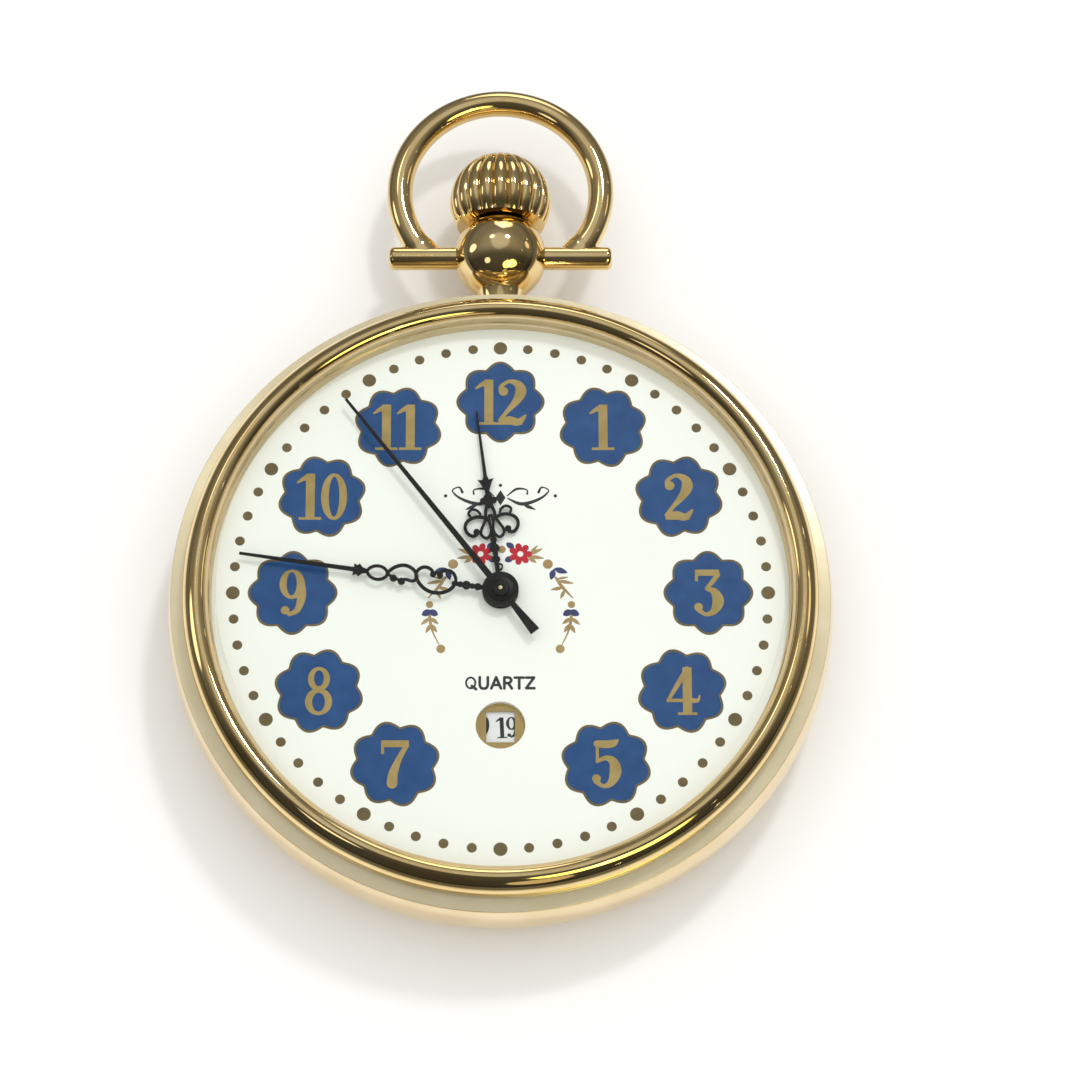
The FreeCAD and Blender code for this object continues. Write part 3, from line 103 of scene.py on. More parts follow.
class Paint:
    """A node material built step by step around one Principled shader."""

    def __init__(self, name):
        self.material = bpy.data.materials.new(name)
        self.material.use_nodes = True
        self.tree = self.material.node_tree
        self.shader = self.tree.nodes["Principled BSDF"]

    def node(self, kind, **settings):
        made = self.tree.nodes.new(kind)
        for key, value in settings.items():
            if key in made.inputs:
                made.inputs[key].default_value = value
            else:
                setattr(made, key, value)
        return made

    def link(self, source, target):
        self.tree.links.new(source, target)

    def set(self, **values):
        for key, value in values.items():
            self.shader.inputs[key.replace("_", " ")].default_value = value

    def place(self):
        return self.node("ShaderNodeTexCoord").outputs["Object"]

    def noise(self, scale, detail=4.0, stretch=None):
        texture = self.node("ShaderNodeTexNoise", Scale=scale, Detail=detail)
        source = self.place()
        if stretch:
            mapping = self.node("ShaderNodeMapping")
            mapping.inputs["Scale"].default_value = stretch
            self.link(source, mapping.inputs["Vector"])
            source = mapping.outputs["Vector"]
        self.link(source, texture.inputs["Vector"])
        return texture.outputs["Fac"]

    def ramp(self, source, stops):
        ramp = self.node("ShaderNodeValToRGB")
        elements = ramp.color_ramp.elements
        while len(elements) < len(stops):
            elements.new(0.5)
        for element, (position, colour) in zip(elements, stops):
            element.position = position
            element.color = (*colour, 1)
        self.link(source, ramp.inputs["Fac"])
        return ramp.outputs["Color"]

    def mottled(self, dark, light, scale, detail=4.0, stretch=None):
        """Colour that drifts between two tones."""
        colour = self.ramp(self.noise(scale, detail, stretch), [(0.3, dark), (0.7, light)])
        self.link(colour, self.shader.inputs["Base Color"])

    def rough(self, least, most, scale, stretch=None):
        """Roughness that varies between two values."""
        spread = self.node("ShaderNodeMapRange")
        spread.inputs["To Min"].default_value = least
        spread.inputs["To Max"].default_value = most
        self.link(self.noise(scale, 5.0, stretch), spread.inputs["Value"])
        self.link(spread.outputs["Result"], self.shader.inputs["Roughness"])

    def bumps(self, scale, strength, depth=0.00002, stretch=None):
        """Fine relief; depth is in metres."""
        bump = self.node("ShaderNodeBump", Strength=strength, Distance=depth)
        self.link(self.noise(scale, 6.0, stretch), bump.inputs["Height"])
        self.link(bump.outputs["Normal"], self.shader.inputs["Normal"])


def metal(name, dark, light, least, most, relief=0.05, stretch=None, metallic=1.0):
    paint = Paint(name)
    paint.set(Metallic=metallic)
    paint.mottled(dark, light, 260, 5.0, stretch)
    paint.rough(least, most, 900, stretch)
    paint.bumps(1800, relief, 0.00001, stretch)
    return paint.material


def coating(name, dark, light, least, most, scale=500, relief=0.06, coat=0.0):
    """Plastic, paint or print."""
    paint = Paint(name)
    paint.mottled(dark, light, scale)
    paint.rough(least, most, scale * 2)
    paint.bumps(scale * 4, relief, 0.00001)
    paint.set(Coat_Weight=coat, Coat_Roughness=0.08, Specular_IOR_Level=0.25)
    return paint.material


def crystal_material():
    """Clear mineral glass: light passes straight through, and only steep parts show mirror reflections."""
    paint = Paint("clear_glass")
    tree = paint.tree
    output = next(node for node in tree.nodes if node.type == "OUTPUT_MATERIAL")
    clear = paint.node("ShaderNodeBsdfTransparent")
    clear.inputs["Color"].default_value = (0.985, 0.99, 0.985, 1)
    gloss = paint.node("ShaderNodeBsdfGlossy", Roughness=0.02)
    fresnel = paint.node("ShaderNodeFresnel", IOR=1.45)
    faint = paint.node("ShaderNodeMath", operation="MULTIPLY_ADD")
    faint.inputs[1].default_value = 0.12
    faint.inputs[2].default_value = -0.008
    smear = paint.node("ShaderNodeMath", operation="MULTIPLY_ADD", use_clamp=True)
    smear.inputs[1].default_value = 0.008
    paint.link(paint.noise(120), smear.inputs[0])
    paint.link(fresnel.outputs[0], faint.inputs[0])
    paint.link(faint.outputs[0], smear.inputs[2])
    mix = paint.node("ShaderNodeMixShader")
    paint.link(smear.outputs[0], mix.inputs[0])
    paint.link(clear.outputs[0], mix.inputs[1])
    paint.link(gloss.outputs[0], mix.inputs[2])
    paint.link(mix.outputs[0], output.inputs["Surface"])
    tree.nodes.remove(paint.shader)
    return paint.material


GOLD = metal("polished_gold_plate", (0.83, 0.61, 0.27), (0.92, 0.72, 0.38), 0.03, 0.08, 0.03)
BAND_GOLD = metal("satin_gold_band", (0.82, 0.65, 0.40), (0.90, 0.74, 0.50), 0.12, 0.2, 0.06)
# The bezel's ledge: half real metallic gold, half a pale diffuse colour that is a painted reflection of the
# white floor on the polished gold.
LEDGE_GOLD_PAINTED_REFLECTION = metal("ledge_gold_painted_reflection", (0.84, 0.74, 0.48), (0.92, 0.82, 0.58), 0.2, 0.3, 0.06, None, 0.5)
FLANGE_GOLD = coating("tan_flange", (0.58, 0.455, 0.25), (0.66, 0.52, 0.30), 0.35, 0.5, 300, 0.05)
MASK_GOLD = metal("date_mask_gold", (0.50, 0.36, 0.14), (0.60, 0.45, 0.20), 0.18, 0.3, 0.1)
STEEL = metal("brushed_steel", (0.52, 0.52, 0.53), (0.72, 0.72, 0.74), 0.2, 0.4, 0.15, (1, 12, 1))
BRASS = metal("gilt_brass", (0.66, 0.50, 0.22), (0.80, 0.64, 0.34), 0.25, 0.4, 0.12)
CELL = metal("cell_steel", (0.66, 0.66, 0.67), (0.80, 0.80, 0.81), 0.15, 0.3, 0.08)
COPPER = metal("enamelled_copper", (0.55, 0.20, 0.07), (0.78, 0.36, 0.16), 0.3, 0.45, 0.4, (1, 30, 1))
GLASS = crystal_material()
ENAMEL = coating("white_dial_enamel", (0.905, 0.93, 0.875), (0.935, 0.955, 0.905), 0.25, 0.4, 60, 0.04, 0.1)
BLUE = coating("blue_enamel", (0.012, 0.060, 0.195), (0.020, 0.082, 0.24), 0.3, 0.45, 700, 0.08, 0.15)
PRINT_GOLD = coating("gold_print", (0.32, 0.235, 0.075), (0.41, 0.30, 0.12), 0.35, 0.55, 900, 0.2)
PRINT_BROWN = coating("brown_gold_print", (0.135, 0.10, 0.045), (0.18, 0.135, 0.065), 0.4, 0.6, 900, 0.15)
PRINT_DARK = coating("dark_print", (0.028, 0.030, 0.032), (0.05, 0.054, 0.056), 0.45, 0.6, 900, 0.1)
PRINT_RED = coating("red_print", (0.42, 0.012, 0.025), (0.54, 0.025, 0.04), 0.4, 0.55, 900, 0.1)
PRINT_WHITE = coating("white_print", (0.82, 0.80, 0.78), (0.9, 0.88, 0.86), 0.4, 0.55, 900, 0.05)
LEAF_GOLD = coating("leaf_gold_print", (0.33, 0.22, 0.09), (0.44, 0.31, 0.155), 0.4, 0.55, 900, 0.12)
LEAF_BLUE = coating("leaf_blue_print", (0.035, 0.047, 0.13), (0.06, 0.075, 0.19), 0.4, 0.55, 900, 0.1)
BLACK = coating("black_hand_lacquer", (0.007, 0.007, 0.0066), (0.015, 0.0145, 0.013), 0.3, 0.5, 1200, 0.25)
NYLON = coating("pale_nylon", (0.62, 0.6, 0.53), (0.72, 0.7, 0.62), 0.4, 0.55, 400)
HOLDER = coating("grey_holder_plastic", (0.42, 0.42, 0.4), (0.5, 0.5, 0.48), 0.5, 0.65, 400)
WHEEL_PLASTIC = coating("cream_wheel_plastic", (0.74, 0.7, 0.58), (0.82, 0.78, 0.66), 0.35, 0.5, 400)
BOARD = coating("green_board", (0.015, 0.11, 0.045), (0.025, 0.16, 0.07), 0.35, 0.5, 700, 0.3)
RESIN = coating("black_resin", (0.015, 0.015, 0.016), (0.03, 0.03, 0.031), 0.5, 0.65, 700)
DATE_WHITE = coating("date_ring_white", (0.74, 0.745, 0.75), (0.82, 0.825, 0.83), 0.45, 0.6, 500)

CAD_FINISH = {
    BRASS: "main_plate train_bridge seconds_wheel third_wheel centre_wheel minute_wheel hour_wheel"
    " setting_wheel",
    STEEL: "crown_tube stem dial_feet dial_washer date_jumper date_guard guard_screws bridge_screws"
    " circuit_screws clamp_screw sliding_pinion setting_lever yoke stator coil_core battery_clamp"
    " battery_contact rotor",
    CELL: "battery quartz_can",
    COPPER: "coil_winding",
    NYLON: "back_gasket crown_gasket",
    FLANGE_GOLD: "crystal_gasket",
    HOLDER: "movement_holder",
    WHEEL_PLASTIC: "intermediate_wheel date_driving_wheel",
    BOARD: "circuit_board",
    RESIN: "ic_chip",
    DATE_WHITE: "date_ring",
    MASK_GOLD: "date_mask",
    ENAMEL: "dial",
    BLACK: "hour_hand minute_hand second_hand",
}


def finish_cad_nodes():
    for material, names in CAD_FINISH.items():
        for name in names.split():
            mesh = NODES[name].data
            mesh.materials.clear()
            mesh.materials.append(material)
    for name in ("hour_hand", "minute_hand", "second_hand"):
        edges = NODES[name].modifiers.new("softened_edges", "BEVEL")
        edges.width = 0.02 * MM
        edges.segments = 2
        edges.limit_method = "ANGLE"


# ---------------------------------------------------------------- meshes


def new_piece(name, points, faces, material, body=ROOT, smooth_angle=30):
    """A mesh from points in millimetres, riding on a body."""
    mesh = bpy.data.meshes.new(name)
    mesh.from_pydata([tuple(c * MM for c in p) for p in points], [], faces)
    mesh.validate()
    mesh.update()
    piece = bpy.data.objects.new(name, mesh)
    bpy.context.scene.collection.objects.link(piece)
    mesh.materials.append(material)
    mesh.polygons.foreach_set("use_smooth", [True] * len(mesh.polygons))
    mesh.set_sharp_from_angle(angle=math.radians(smooth_angle))
    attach(piece, body)
    return piece


def arc(start, end, depth, steps=12):
    """Points from start up to but not including end, along an arc that stands out by depth to the right."""
    (x0, y0), (x1, y1) = start, end
    chord = math.hypot(x1 - x0, y1 - y0)
    radius = (chord * chord / 4 + depth * depth) / (2 * abs(depth))
    nx, ny = (y1 - y0) / chord, -(x1 - x0) / chord
    side = math.copysign(1, depth)
    cx = (x0 + x1) / 2 - nx * (radius - abs(depth)) * side
    cy = (y0 + y1) / 2 - ny * (radius - abs(depth)) * side
    a0 = math.atan2(y0 - cy, x0 - cx)
    a1 = math.atan2(y1 - cy, x1 - cx)
    turn = (a1 - a0 + math.pi) % (2 * math.pi) - math.pi
    angles = [a0 + turn * k / steps for k in range(steps)]
    return [(cx + radius * math.cos(a), cy + radius * math.sin(a)) for a in angles]


def softened(outline, radius):
    """Rounds the sharp corners of a closed outline."""
    result = []
    count = len(outline)
    for i, (x, y) in enumerate(outline):
        px, py = outline[i - 1]
        qx, qy = outline[(i + 1) % count]
        before = Vector((px - x, py - y))
        after = Vector((qx - x, qy - y))
        if before.length < 1e-6 or after.length < 1e-6 or before.angle(after) > math.radians(155):
            result.append((x, y))
            continue
        reach = min(radius, before.length * 0.4, after.length * 0.4)
        start = Vector((x, y)) + before.normalized() * reach
        end = Vector((x, y)) + after.normalized() * reach
        for k in range(4):
            share = k / 3
            low_part = start.lerp(Vector((x, y)), share)
            high_part = Vector((x, y)).lerp(end, share)
            result.append(tuple(low_part.lerp(high_part, share)))
    return result


def lathe(name, outline, material, segments=360, along_y=False, body=ROOT, edge=0.06):
    """Turns a closed outline of (radius, height) about +Z, or about the winding axis along +Y."""
    outline = softened(outline, edge)
    on_axis = [r < 1e-6 for r, _ in outline]
    points = []
    rows = []
    for (radius, height), centre in zip(outline, on_axis):
        row = []
        for k in range(1 if centre else segments):
            a = 2 * math.pi * k / segments
            x, y = radius * math.cos(a), radius * math.sin(a)
            row.append(len(points))
            points.append((x, height, WINDING_LEVEL - y) if along_y else (x, y, height))
        rows.append(row)
    faces = []
    for i, row in enumerate(rows):
        following = rows[(i + 1) % len(rows)]
        for k in range(segments):
            quad = [
                row[k % len(row)],
                row[(k + 1) % len(row)],
                following[(k + 1) % len(following)],
                following[k % len(following)],
            ]
            corners = list(dict.fromkeys(quad))
            if len(corners) > 2:
                faces.append(corners[::-1])
    return new_piece(name, points, faces, material, body, 35)


# ---------------------------------------------------------------- case


def build_band():
    """The middle case: a bellied side between two seams, with the neck that carries the bezel."""
    snap = 22.6
    gasket = high("back_gasket", Z)
    chamfer = 0.06
    belly = CASE_RADIUS - SEAM_RADIUS
    band = [(CASE_BORE, gasket), (snap, gasket), (snap, BACK_SEAM), (SEAM_RADIUS - 0.08, BACK_SEAM)]
    band += arc((SEAM_RADIUS, BACK_SEAM + chamfer), (SEAM_RADIUS, BEZEL_SEAM - chamfer), belly, 24)
    band += [(SEAM_RADIUS, BEZEL_SEAM - chamfer), (SEAM_RADIUS - 0.15, BEZEL_SEAM)]
    band += [(NECK_RADIUS, BEZEL_SEAM), (NECK_RADIUS, NECK_TOP), (CASE_BORE, NECK_TOP)]
    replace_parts(lathe("case_band", band, BAND_GOLD), "case_middle")


def build_back():
    """The snap-on back: flat in the middle and dished up to its rim."""
    rest = 15.5
    rim = high("case_back", X)
    rim_level = 1.9
    snap = 22.55
    top = high("case_back", Z)
    back = [(0, 0), (rest, 0)] + arc((rest, 0), (rim, rim_level), 0.53, 20)[1:]
    back += [(rim, rim_level), (rim, BACK_SEAM - 0.03), (snap, BACK_SEAM - 0.03), (snap, top)]
    back += [(CASE_BORE, top), (CASE_BORE, 2.2), (20.6, 2.2), (rest - 0.3, 0.8), (0, 0.8)]
    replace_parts(lathe("back_cover", back, GOLD), "case_back")


def build_bezel():
    """The bezel: a ledge at its foot, half metallic gold and half a pale diffuse colour that paints in the
    white floor's reflection, and a polished round ring above it.
    """
    top = high("bezel", Z)
    foot = high("bezel", X)
    lip_level = 8.95
    shell = [(NECK_RADIUS, BEZEL_SEAM), (foot, BEZEL_SEAM), (foot, BEZEL_SEAM + 0.2)]
    shell += arc((BEZEL_RADIUS, BEZEL_FOOT), (CREST_RADIUS, top), 0.534, 22)
    shell += arc((CREST_RADIUS, top), (OPENING_RADIUS, lip_level), 0.14, 8)
    shell += [(OPENING_RADIUS, lip_level), (OPENING_RADIUS, FLANGE_TOP), (FLANGE_RADIUS, FLANGE_TOP)]
    shell += [(FLANGE_RADIUS, NECK_TOP), (NECK_RADIUS, NECK_TOP)]
    bezel = lathe("bezel_ring", shell, GOLD, edge=0.05)
    bezel.data.materials.append(LEDGE_GOLD_PAINTED_REFLECTION)
    # The ledge's upward faces take the gold with the painted reflection of the floor.
    for face in bezel.data.polygons:
        outward = face.center.xy.length / MM
        level = face.center.z / MM
        if outward > BEZEL_RADIUS and level > BEZEL_SEAM + 0.1 and abs(face.normal.z) > 0.9:
            face.material_index = 1
    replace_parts(bezel, "bezel")


def build_flange():
    """The ring between the dial's edge and the crystal."""
    flange = [(FLANGE_BORE, DIAL_TOP), (FLANGE_RADIUS, DIAL_TOP), (FLANGE_RADIUS, FLANGE_TOP)]
    flange += [(FLANGE_BORE + 0.05, FLANGE_TOP)]
    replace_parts(lathe("flange_ring", flange, FLANGE_GOLD), "rehaut_ring")


def build_crystal():
    """A domed crystal with a bevelled edge, hollow below."""
    middle = 8.78
    bevel_foot = 8.85
    bevel_top = 9.25
    outline = arc((0, middle), (GLASS_EDGE, 8.3), -0.12, 16)
    outline += [(GLASS_EDGE, 8.3), (GLASS_EDGE, FLANGE_TOP), (CRYSTAL_RADIUS, FLANGE_TOP)]
    outline += [(CRYSTAL_RADIUS, bevel_foot), (GLASS_EDGE, bevel_top)]
    for angle in np.linspace(0.05, math.pi / 2, 20):
        outline.append((GLASS_EDGE * math.cos(angle), bevel_top + 0.7 * math.sin(angle)))
    outline[0] = (0, middle)
    outline[-1] = (0, high("crystal", Z))
    glass = lathe("watch_glass", outline, GLASS, edge=0.03)
    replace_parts(glass, "crystal")


# ---------------------------------------------------------------- pendant, crown and bow


def build_pendant():
    """A polished ball on a short waisted neck, with the tube bored through it."""
    bore = 1.2
    neck = 1.5
    inner_end = 22.1
    outline = [(bore, inner_end), (neck, inner_end), (neck, 24.3)]
    start = math.asin(1.75 / BALL_RADIUS)
    finish = math.pi - math.asin(bore / BALL_RADIUS)
    for angle in np.linspace(start, finish, 40):
        outline.append((BALL_RADIUS * math.sin(angle), BALL_CENTRE - BALL_RADIUS * math.cos(angle)))
    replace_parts(lathe("pendant_ball", outline, GOLD, 192, True), "pendant")


def crown_outline():
    """The crown's outer meridian: part of a sphere, from its lower rim up over the top."""
    sphere = CROWN_RADIUS
    centre = CROWN_TOP - sphere
    start = -math.asin((centre - CROWN_BASE) / sphere)
    return [
        (sphere * math.cos(a), centre + sphere * math.sin(a), a)
        for a in np.linspace(start, math.pi / 2, 56)
    ]


def build_crown():
    """A fluted onion crown: round ribs between narrow grooves that run up over its shoulder."""
    flutes = 20
    groove_depth = 0.088
    around = flutes * 22
    points = []
    rows = []
    meridian = crown_outline()
    bore = 1.7
    seat = BALL_RADIUS + 0.12
    seat_top = BALL_CENTRE + math.sqrt(seat ** 2 - bore ** 2)
    inner = [(0, CROWN_BASE + 2.4), (bore, CROWN_BASE + 2.4)]
    for height in np.linspace(seat_top, CROWN_BASE, 14):
        inner.append((math.sqrt(seat ** 2 - (height - BALL_CENTRE) ** 2), height))
    for radius, height, angle in [(r, h, None) for r, h in inner] + meridian:
        row = []
        for k in range(around):
            turn = 2 * math.pi * k / around
            reach = radius
            if angle is not None:
                fade = min(1.0, max(0.0, (math.radians(78) - angle) / 0.35))
                rim = min(1.0, (height - CROWN_BASE) / 0.25)
                wave = abs(math.cos(turn * flutes / 2)) ** 0.55
                reach = radius * (1 - groove_depth * (1 - wave) * fade * rim)
            row.append(len(points))
            points.append((reach * math.cos(turn), height, WINDING_LEVEL - reach * math.sin(turn)))
        rows.append(row)
    faces = []
    for lower, upper in zip(rows, rows[1:]):
        for k in range(around):
            j = (k + 1) % around
            faces.append([lower[j], lower[k], upper[k], upper[j]][::-1])
    crown = new_piece("fluted_crown", points, faces, GOLD, "crown", 40)
    weld = crown.modifiers.new("closed_poles", "WELD")
    weld.merge_threshold = 0.004 * MM
    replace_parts(crown, "crown")


def tube(name, path, radii, material, body, segments=40, rise=None):
    """A bar along a path, with a half width at each point and, if it isn't round, a half height too."""
    points = []
    faces = []
    count = len(path)
    for i, (centre, radius, height) in enumerate(zip(path, radii, rise or radii)):
        before = path[max(i - 1, 0)]
        after = path[min(i + 1, count - 1)]
        tangent = (Vector(after) - Vector(before)).normalized()
        side = tangent.cross(Vector((0, 0, 1))).normalized()
        for k in range(segments):
            a = 2 * math.pi * k / segments
            offset = side * math.cos(a) * radius + Vector((0, 0, 1)) * math.sin(a) * height
            points.append(tuple(Vector(centre) + offset))
    for i in range(count - 1):
        for k in range(segments):
            j = (k + 1) % segments
            here, beyond = i * segments, (i + 1) * segments
            faces.append([here + k, here + j, beyond + j, beyond + k])
    faces.append(list(range(segments))[::-1])
    faces.append([(count - 1) * segments + k for k in range(segments)])
    return new_piece(name, points, faces, material, body, 40)


def build_bow_loop():
    """The ring; each foot widens along its bar and thins across it, and so ends inside the bar."""
    foot = math.radians(44)
    fade = 0.45
    path = []
    radii = []
    rise = []
    for angle in np.linspace(-math.pi / 2 + foot, 1.5 * math.pi - foot, 220):
        y = BOW_CENTRE + BOW_RADIUS * math.sin(angle)
        path.append((BOW_RADIUS * math.cos(angle), y, WINDING_LEVEL))
        above = max(y - BAR_AXIS - BAR_RADIUS, 0)
        near = math.exp(-above / fade)
        radii.append(BOW_WIRE * (1 + 0.19 * near))
        rise.append(BOW_WIRE * (1 - 0.16 * near))
    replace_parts(tube("bow_loop", path, radii, GOLD, "bow", 56, rise), "bow_ring")


def build_bow_bar(side, name):
    """One cross bar, rounded at its outer end."""
    rounding = 0.4
    straight = BAR_REACH - BAR_INNER - rounding
    path = []
    radii = []
    for along in np.linspace(0, straight, 30):
        path.append((side * (BAR_INNER + along), BAR_AXIS, WINDING_LEVEL))
        radii.append(BAR_RADIUS)
    for angle in np.linspace(0.15, 1.45, 10):
        along = straight + rounding * math.sin(angle)
        path.append((side * (BAR_INNER + along), BAR_AXIS, WINDING_LEVEL))
        radii.append(BAR_RADIUS - rounding * (1 - math.cos(angle)))
    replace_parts(tube("bow_bar_" + name, path, radii, GOLD, "bow"), "bow_pivot_" + name)


# ---------------------------------------------------------------- flat print from distance fields


def disc(cx, cy, radius):
    return lambda x, y: radius - np.hypot(x - cx, y - cy)


def oval(cx, cy, rx, ry):
    return lambda x, y: (1 - np.hypot((x - cx) / rx, (y - cy) / ry)) * min(rx, ry)


def box(x0, y0, x1, y1):
    return lambda x, y: np.minimum(np.minimum(x - x0, x1 - x), np.minimum(y - y0, y1 - y))


def lozenge(cx, cy, size):
    return lambda x, y: size - (np.abs(x - cx) * 0.9 + np.abs(y - cy) * 0.55)


def union(*fields):
    return lambda x, y: np.maximum.reduce([field(x, y) for field in fields])


def without(field, hole):
    return lambda x, y: np.minimum(field(x, y), -hole(x, y))


def flipped(field):
    """The field and its mirror image about x = 0."""
    return lambda x, y: field(np.abs(x), y)


def moved(field, dx, dy, scale=1.0, turn=0.0):
    """The field scaled, turned anticlockwise in radians, and moved."""
    c, s = math.cos(turn), math.sin(turn)

    def shifted(x, y):
        u, v = (x - dx) / scale, (y - dy) / scale
        return field(c * u + s * v, c * v - s * u) * scale

    return shifted


def pen(*knots):
    """A smooth stroke through (x, y, half width) knots."""
    dense = []
    count = len(knots)
    for i in range(count - 1):
        p = [np.array(knots[min(max(j, 0), count - 1)], float) for j in (i - 1, i, i + 1, i + 2)]
        for t in np.linspace(0, 1, 8, endpoint=False):
            dense.append(
                0.5
                * (
                    2 * p[1]
                    + (p[2] - p[0]) * t
                    + (2 * p[0] - 5 * p[1] + 4 * p[2] - p[3]) * t * t
                    + (3 * p[1] - p[0] - 3 * p[2] + p[3]) * t ** 3
                )
            )
    dense.append(np.array(knots[-1], float))

    def field(x, y):
        best = np.full(np.shape(x), -1e9)
        for a, b in zip(dense, dense[1:]):
            dx, dy = b[0] - a[0], b[1] - a[1]
            span = dx * dx + dy * dy + 1e-12
            t = np.clip(((x - a[0]) * dx + (y - a[1]) * dy) / span, 0, 1)
            away = np.hypot(x - a[0] - t * dx, y - a[1] - t * dy)
            best = np.maximum(best, a[2] + (b[2] - a[2]) * t - away)
        return best

    return field


def leaf(x0, y0, x1, y1, width):
    """A pointed leaf from its foot to its tip."""
    mx, my = x0 + (x1 - x0) * 0.45, y0 + (y1 - y0) * 0.45
    return pen((x0, y0, width * 0.4), (mx, my, width * 1.35), (x1, y1, 0.03))


def cartouche(size):
    """An eight-lobed plaque with one lobe on +Y; size is added all round."""

    def field(x, y):
        angle = np.arctan2(x, y)
        lobe = (0.5 + 0.5 * np.cos(8 * angle)) ** 0.6
        return 2.79 + 0.48 * lobe + size - np.hypot(x, y)

    return field


EDGE_PAIRS = {
    1: ["BL"], 2: ["RB"], 3: ["RL"], 4: ["TR"], 5: ["BL", "TR"], 6: ["TB"], 7: ["TL"],
    8: ["LT"], 9: ["BT"], 10: ["RB", "LT"], 11: ["RT"], 12: ["LR"], 13: ["BR"], 14: ["LB"],
}


def contour(field, cx, cy, reach_x, reach_y, step):
    """Closed outlines where the field is zero, by marching squares on a grid."""
    xs = np.arange(cx - reach_x, cx + reach_x + step, step)
    ys = np.arange(cy - reach_y, cy + reach_y + step, step)
    gx, gy = np.meshgrid(xs, ys)
    value = field(gx, gy)
    value = np.where(np.abs(value) < 1e-7, 1e-7, value)
    value[0, :] = value[-1, :] = value[:, 0] = value[:, -1] = -1
    inside = value > 0
    code = inside[:-1, :-1] + 2 * inside[:-1, 1:] + 4 * inside[1:, 1:] + 8 * inside[1:, :-1]
    following = {}
    for i, j in zip(*np.nonzero((code > 0) & (code < 15))):
        edges = {"B": (0, i, j), "T": (0, i + 1, j), "L": (1, i, j), "R": (1, i, j + 1)}
        for pair in EDGE_PAIRS[int(code[i, j])]:
            following[edges[pair[0]]] = edges[pair[1]]

    def crossing(key):
        upright, i, j = key
        a = value[i, j]
        b = value[i + 1, j] if upright else value[i, j + 1]
        share = a / (a - b)
        return (xs[j], ys[i] + share * step) if upright else (xs[j] + share * step, ys[i])

    loops = []
    while following:
        first, here = following.popitem()
        loop = [crossing(first)]
        while here != first:
            loop.append(crossing(here))
            here = following.pop(here)
        if len(loop) > 5:
            loops.append(loop)
    return loops


def printed(name, shapes, bottom, top, material, body=ROOT):
    """Thin raised print. shapes is a list of (field, centre x, centre y, reach x, reach y, step)."""
    curve = bpy.data.curves.new(name + "_outline", "CURVE")
    curve.dimensions = "2D"
    curve.fill_mode = "BOTH"
    curve.extrude = (top - bottom) / 2 * MM
    for shape in shapes:
        for loop in contour(*shape):
            spline = curve.splines.new("POLY")
            spline.points.add(len(loop) - 1)
            flat = []
            for x, y in loop:
                flat += [x * MM, y * MM, 0, 1]
            spline.points.foreach_set("co", flat)
            spline.use_cyclic_u = True
    drawn = bpy.data.objects.new(name + "_drawn", curve)
    bpy.context.scene.collection.objects.link(drawn)
    bpy.context.view_layer.update()
    mesh = bpy.data.meshes.new_from_object(drawn.evaluated_get(bpy.context.evaluated_depsgraph_get()))
    mesh.name = name
    bpy.data.objects.remove(drawn)
    for vertex in mesh.vertices:
        vertex.co.z += (top + bottom) / 2 * MM
    mesh.materials.clear()
    mesh.materials.append(material)
    piece = bpy.data.objects.new(name, mesh)
    bpy.context.scene.collection.objects.link(piece)
    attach(piece, body)
    return piece


# ---------------------------------------------------------------- numerals, one unit high, own design


def numeral_one():
    flag = pen((-0.25, 0.8, 0.02), (-0.12, 0.89, 0.045), (0.0, 0.96, 0.035))
    return union(box(-0.085, 0, 0.095, 0.99), box(-0.22, 0, 0.23, 0.055), flag, box(-0.13, 0.84, 0.0, 0.95))


def numeral_two():
    neck = pen(
        (-0.2, 0.72, 0.07), (-0.22, 0.84, 0.045), (-0.06, 0.95, 0.04), (0.12, 0.88, 0.08),
        (0.17, 0.72, 0.11), (0.08, 0.52, 0.08), (-0.1, 0.3, 0.045), (-0.25, 0.1, 0.04),
    )
    foot = pen((-0.22, 0.08, 0.05), (-0.06, 0.1, 0.085), (0.12, 0.06, 0.075), (0.26, 0.2, 0.025))
    return union(neck, foot, disc(-0.18, 0.73, 0.095), box(-0.27, 0.0, 0.2, 0.06))


def numeral_three():
    bar = union(box(-0.24, 0.86, 0.22, 0.99), box(-0.26, 0.74, -0.2, 0.99))
    slant = pen((0.19, 0.88, 0.05), (0.06, 0.7, 0.045), (-0.03, 0.6, 0.035))
    bowl = pen(
        (-0.03, 0.58, 0.035), (0.12, 0.52, 0.075), (0.19, 0.32, 0.115), (0.1, 0.11, 0.07),
        (-0.06, 0.045, 0.04), (-0.2, 0.14, 0.05),
    )
    return union(bar, slant, bowl, disc(-0.2, 0.2, 0.085))


def numeral_four():
    slant = pen((-0.28, 0.3, 0.03), (-0.06, 0.68, 0.05), (0.1, 0.97, 0.04))
    serif = pen((0.2, 0.3, 0.05), (0.3, 0.3, 0.035), (0.34, 0.4, 0.015))
    upright = box(0.01, 0, 0.19, 0.99)
    foot = box(-0.09, 0, 0.29, 0.055)
    crossbar = box(-0.31, 0.265, 0.32, 0.335)
    return union(upright, foot, crossbar, slant, serif)


def numeral_five():
    bar = pen((-0.17, 0.91, 0.07), (0.0, 0.9, 0.08), (0.14, 0.92, 0.07), (0.24, 0.99, 0.015))
    bowl = pen(
        (-0.17, 0.55, 0.035), (0.0, 0.62, 0.05), (0.14, 0.54, 0.085), (0.18, 0.33, 0.115),
        (0.09, 0.11, 0.07), (-0.06, 0.045, 0.04), (-0.2, 0.14, 0.05),
    )
    return union(bar, bowl, box(-0.2, 0.52, -0.14, 0.95), disc(-0.19, 0.2, 0.085))


def numeral_six():
    stem = pen((0.17, 0.86, 0.05), (0.02, 0.93, 0.045), (-0.14, 0.75, 0.08), (-0.18, 0.4, 0.09))
    ring = without(oval(0, 0.3, 0.26, 0.3), oval(0.02, 0.29, 0.1, 0.23))
    return union(stem, ring)


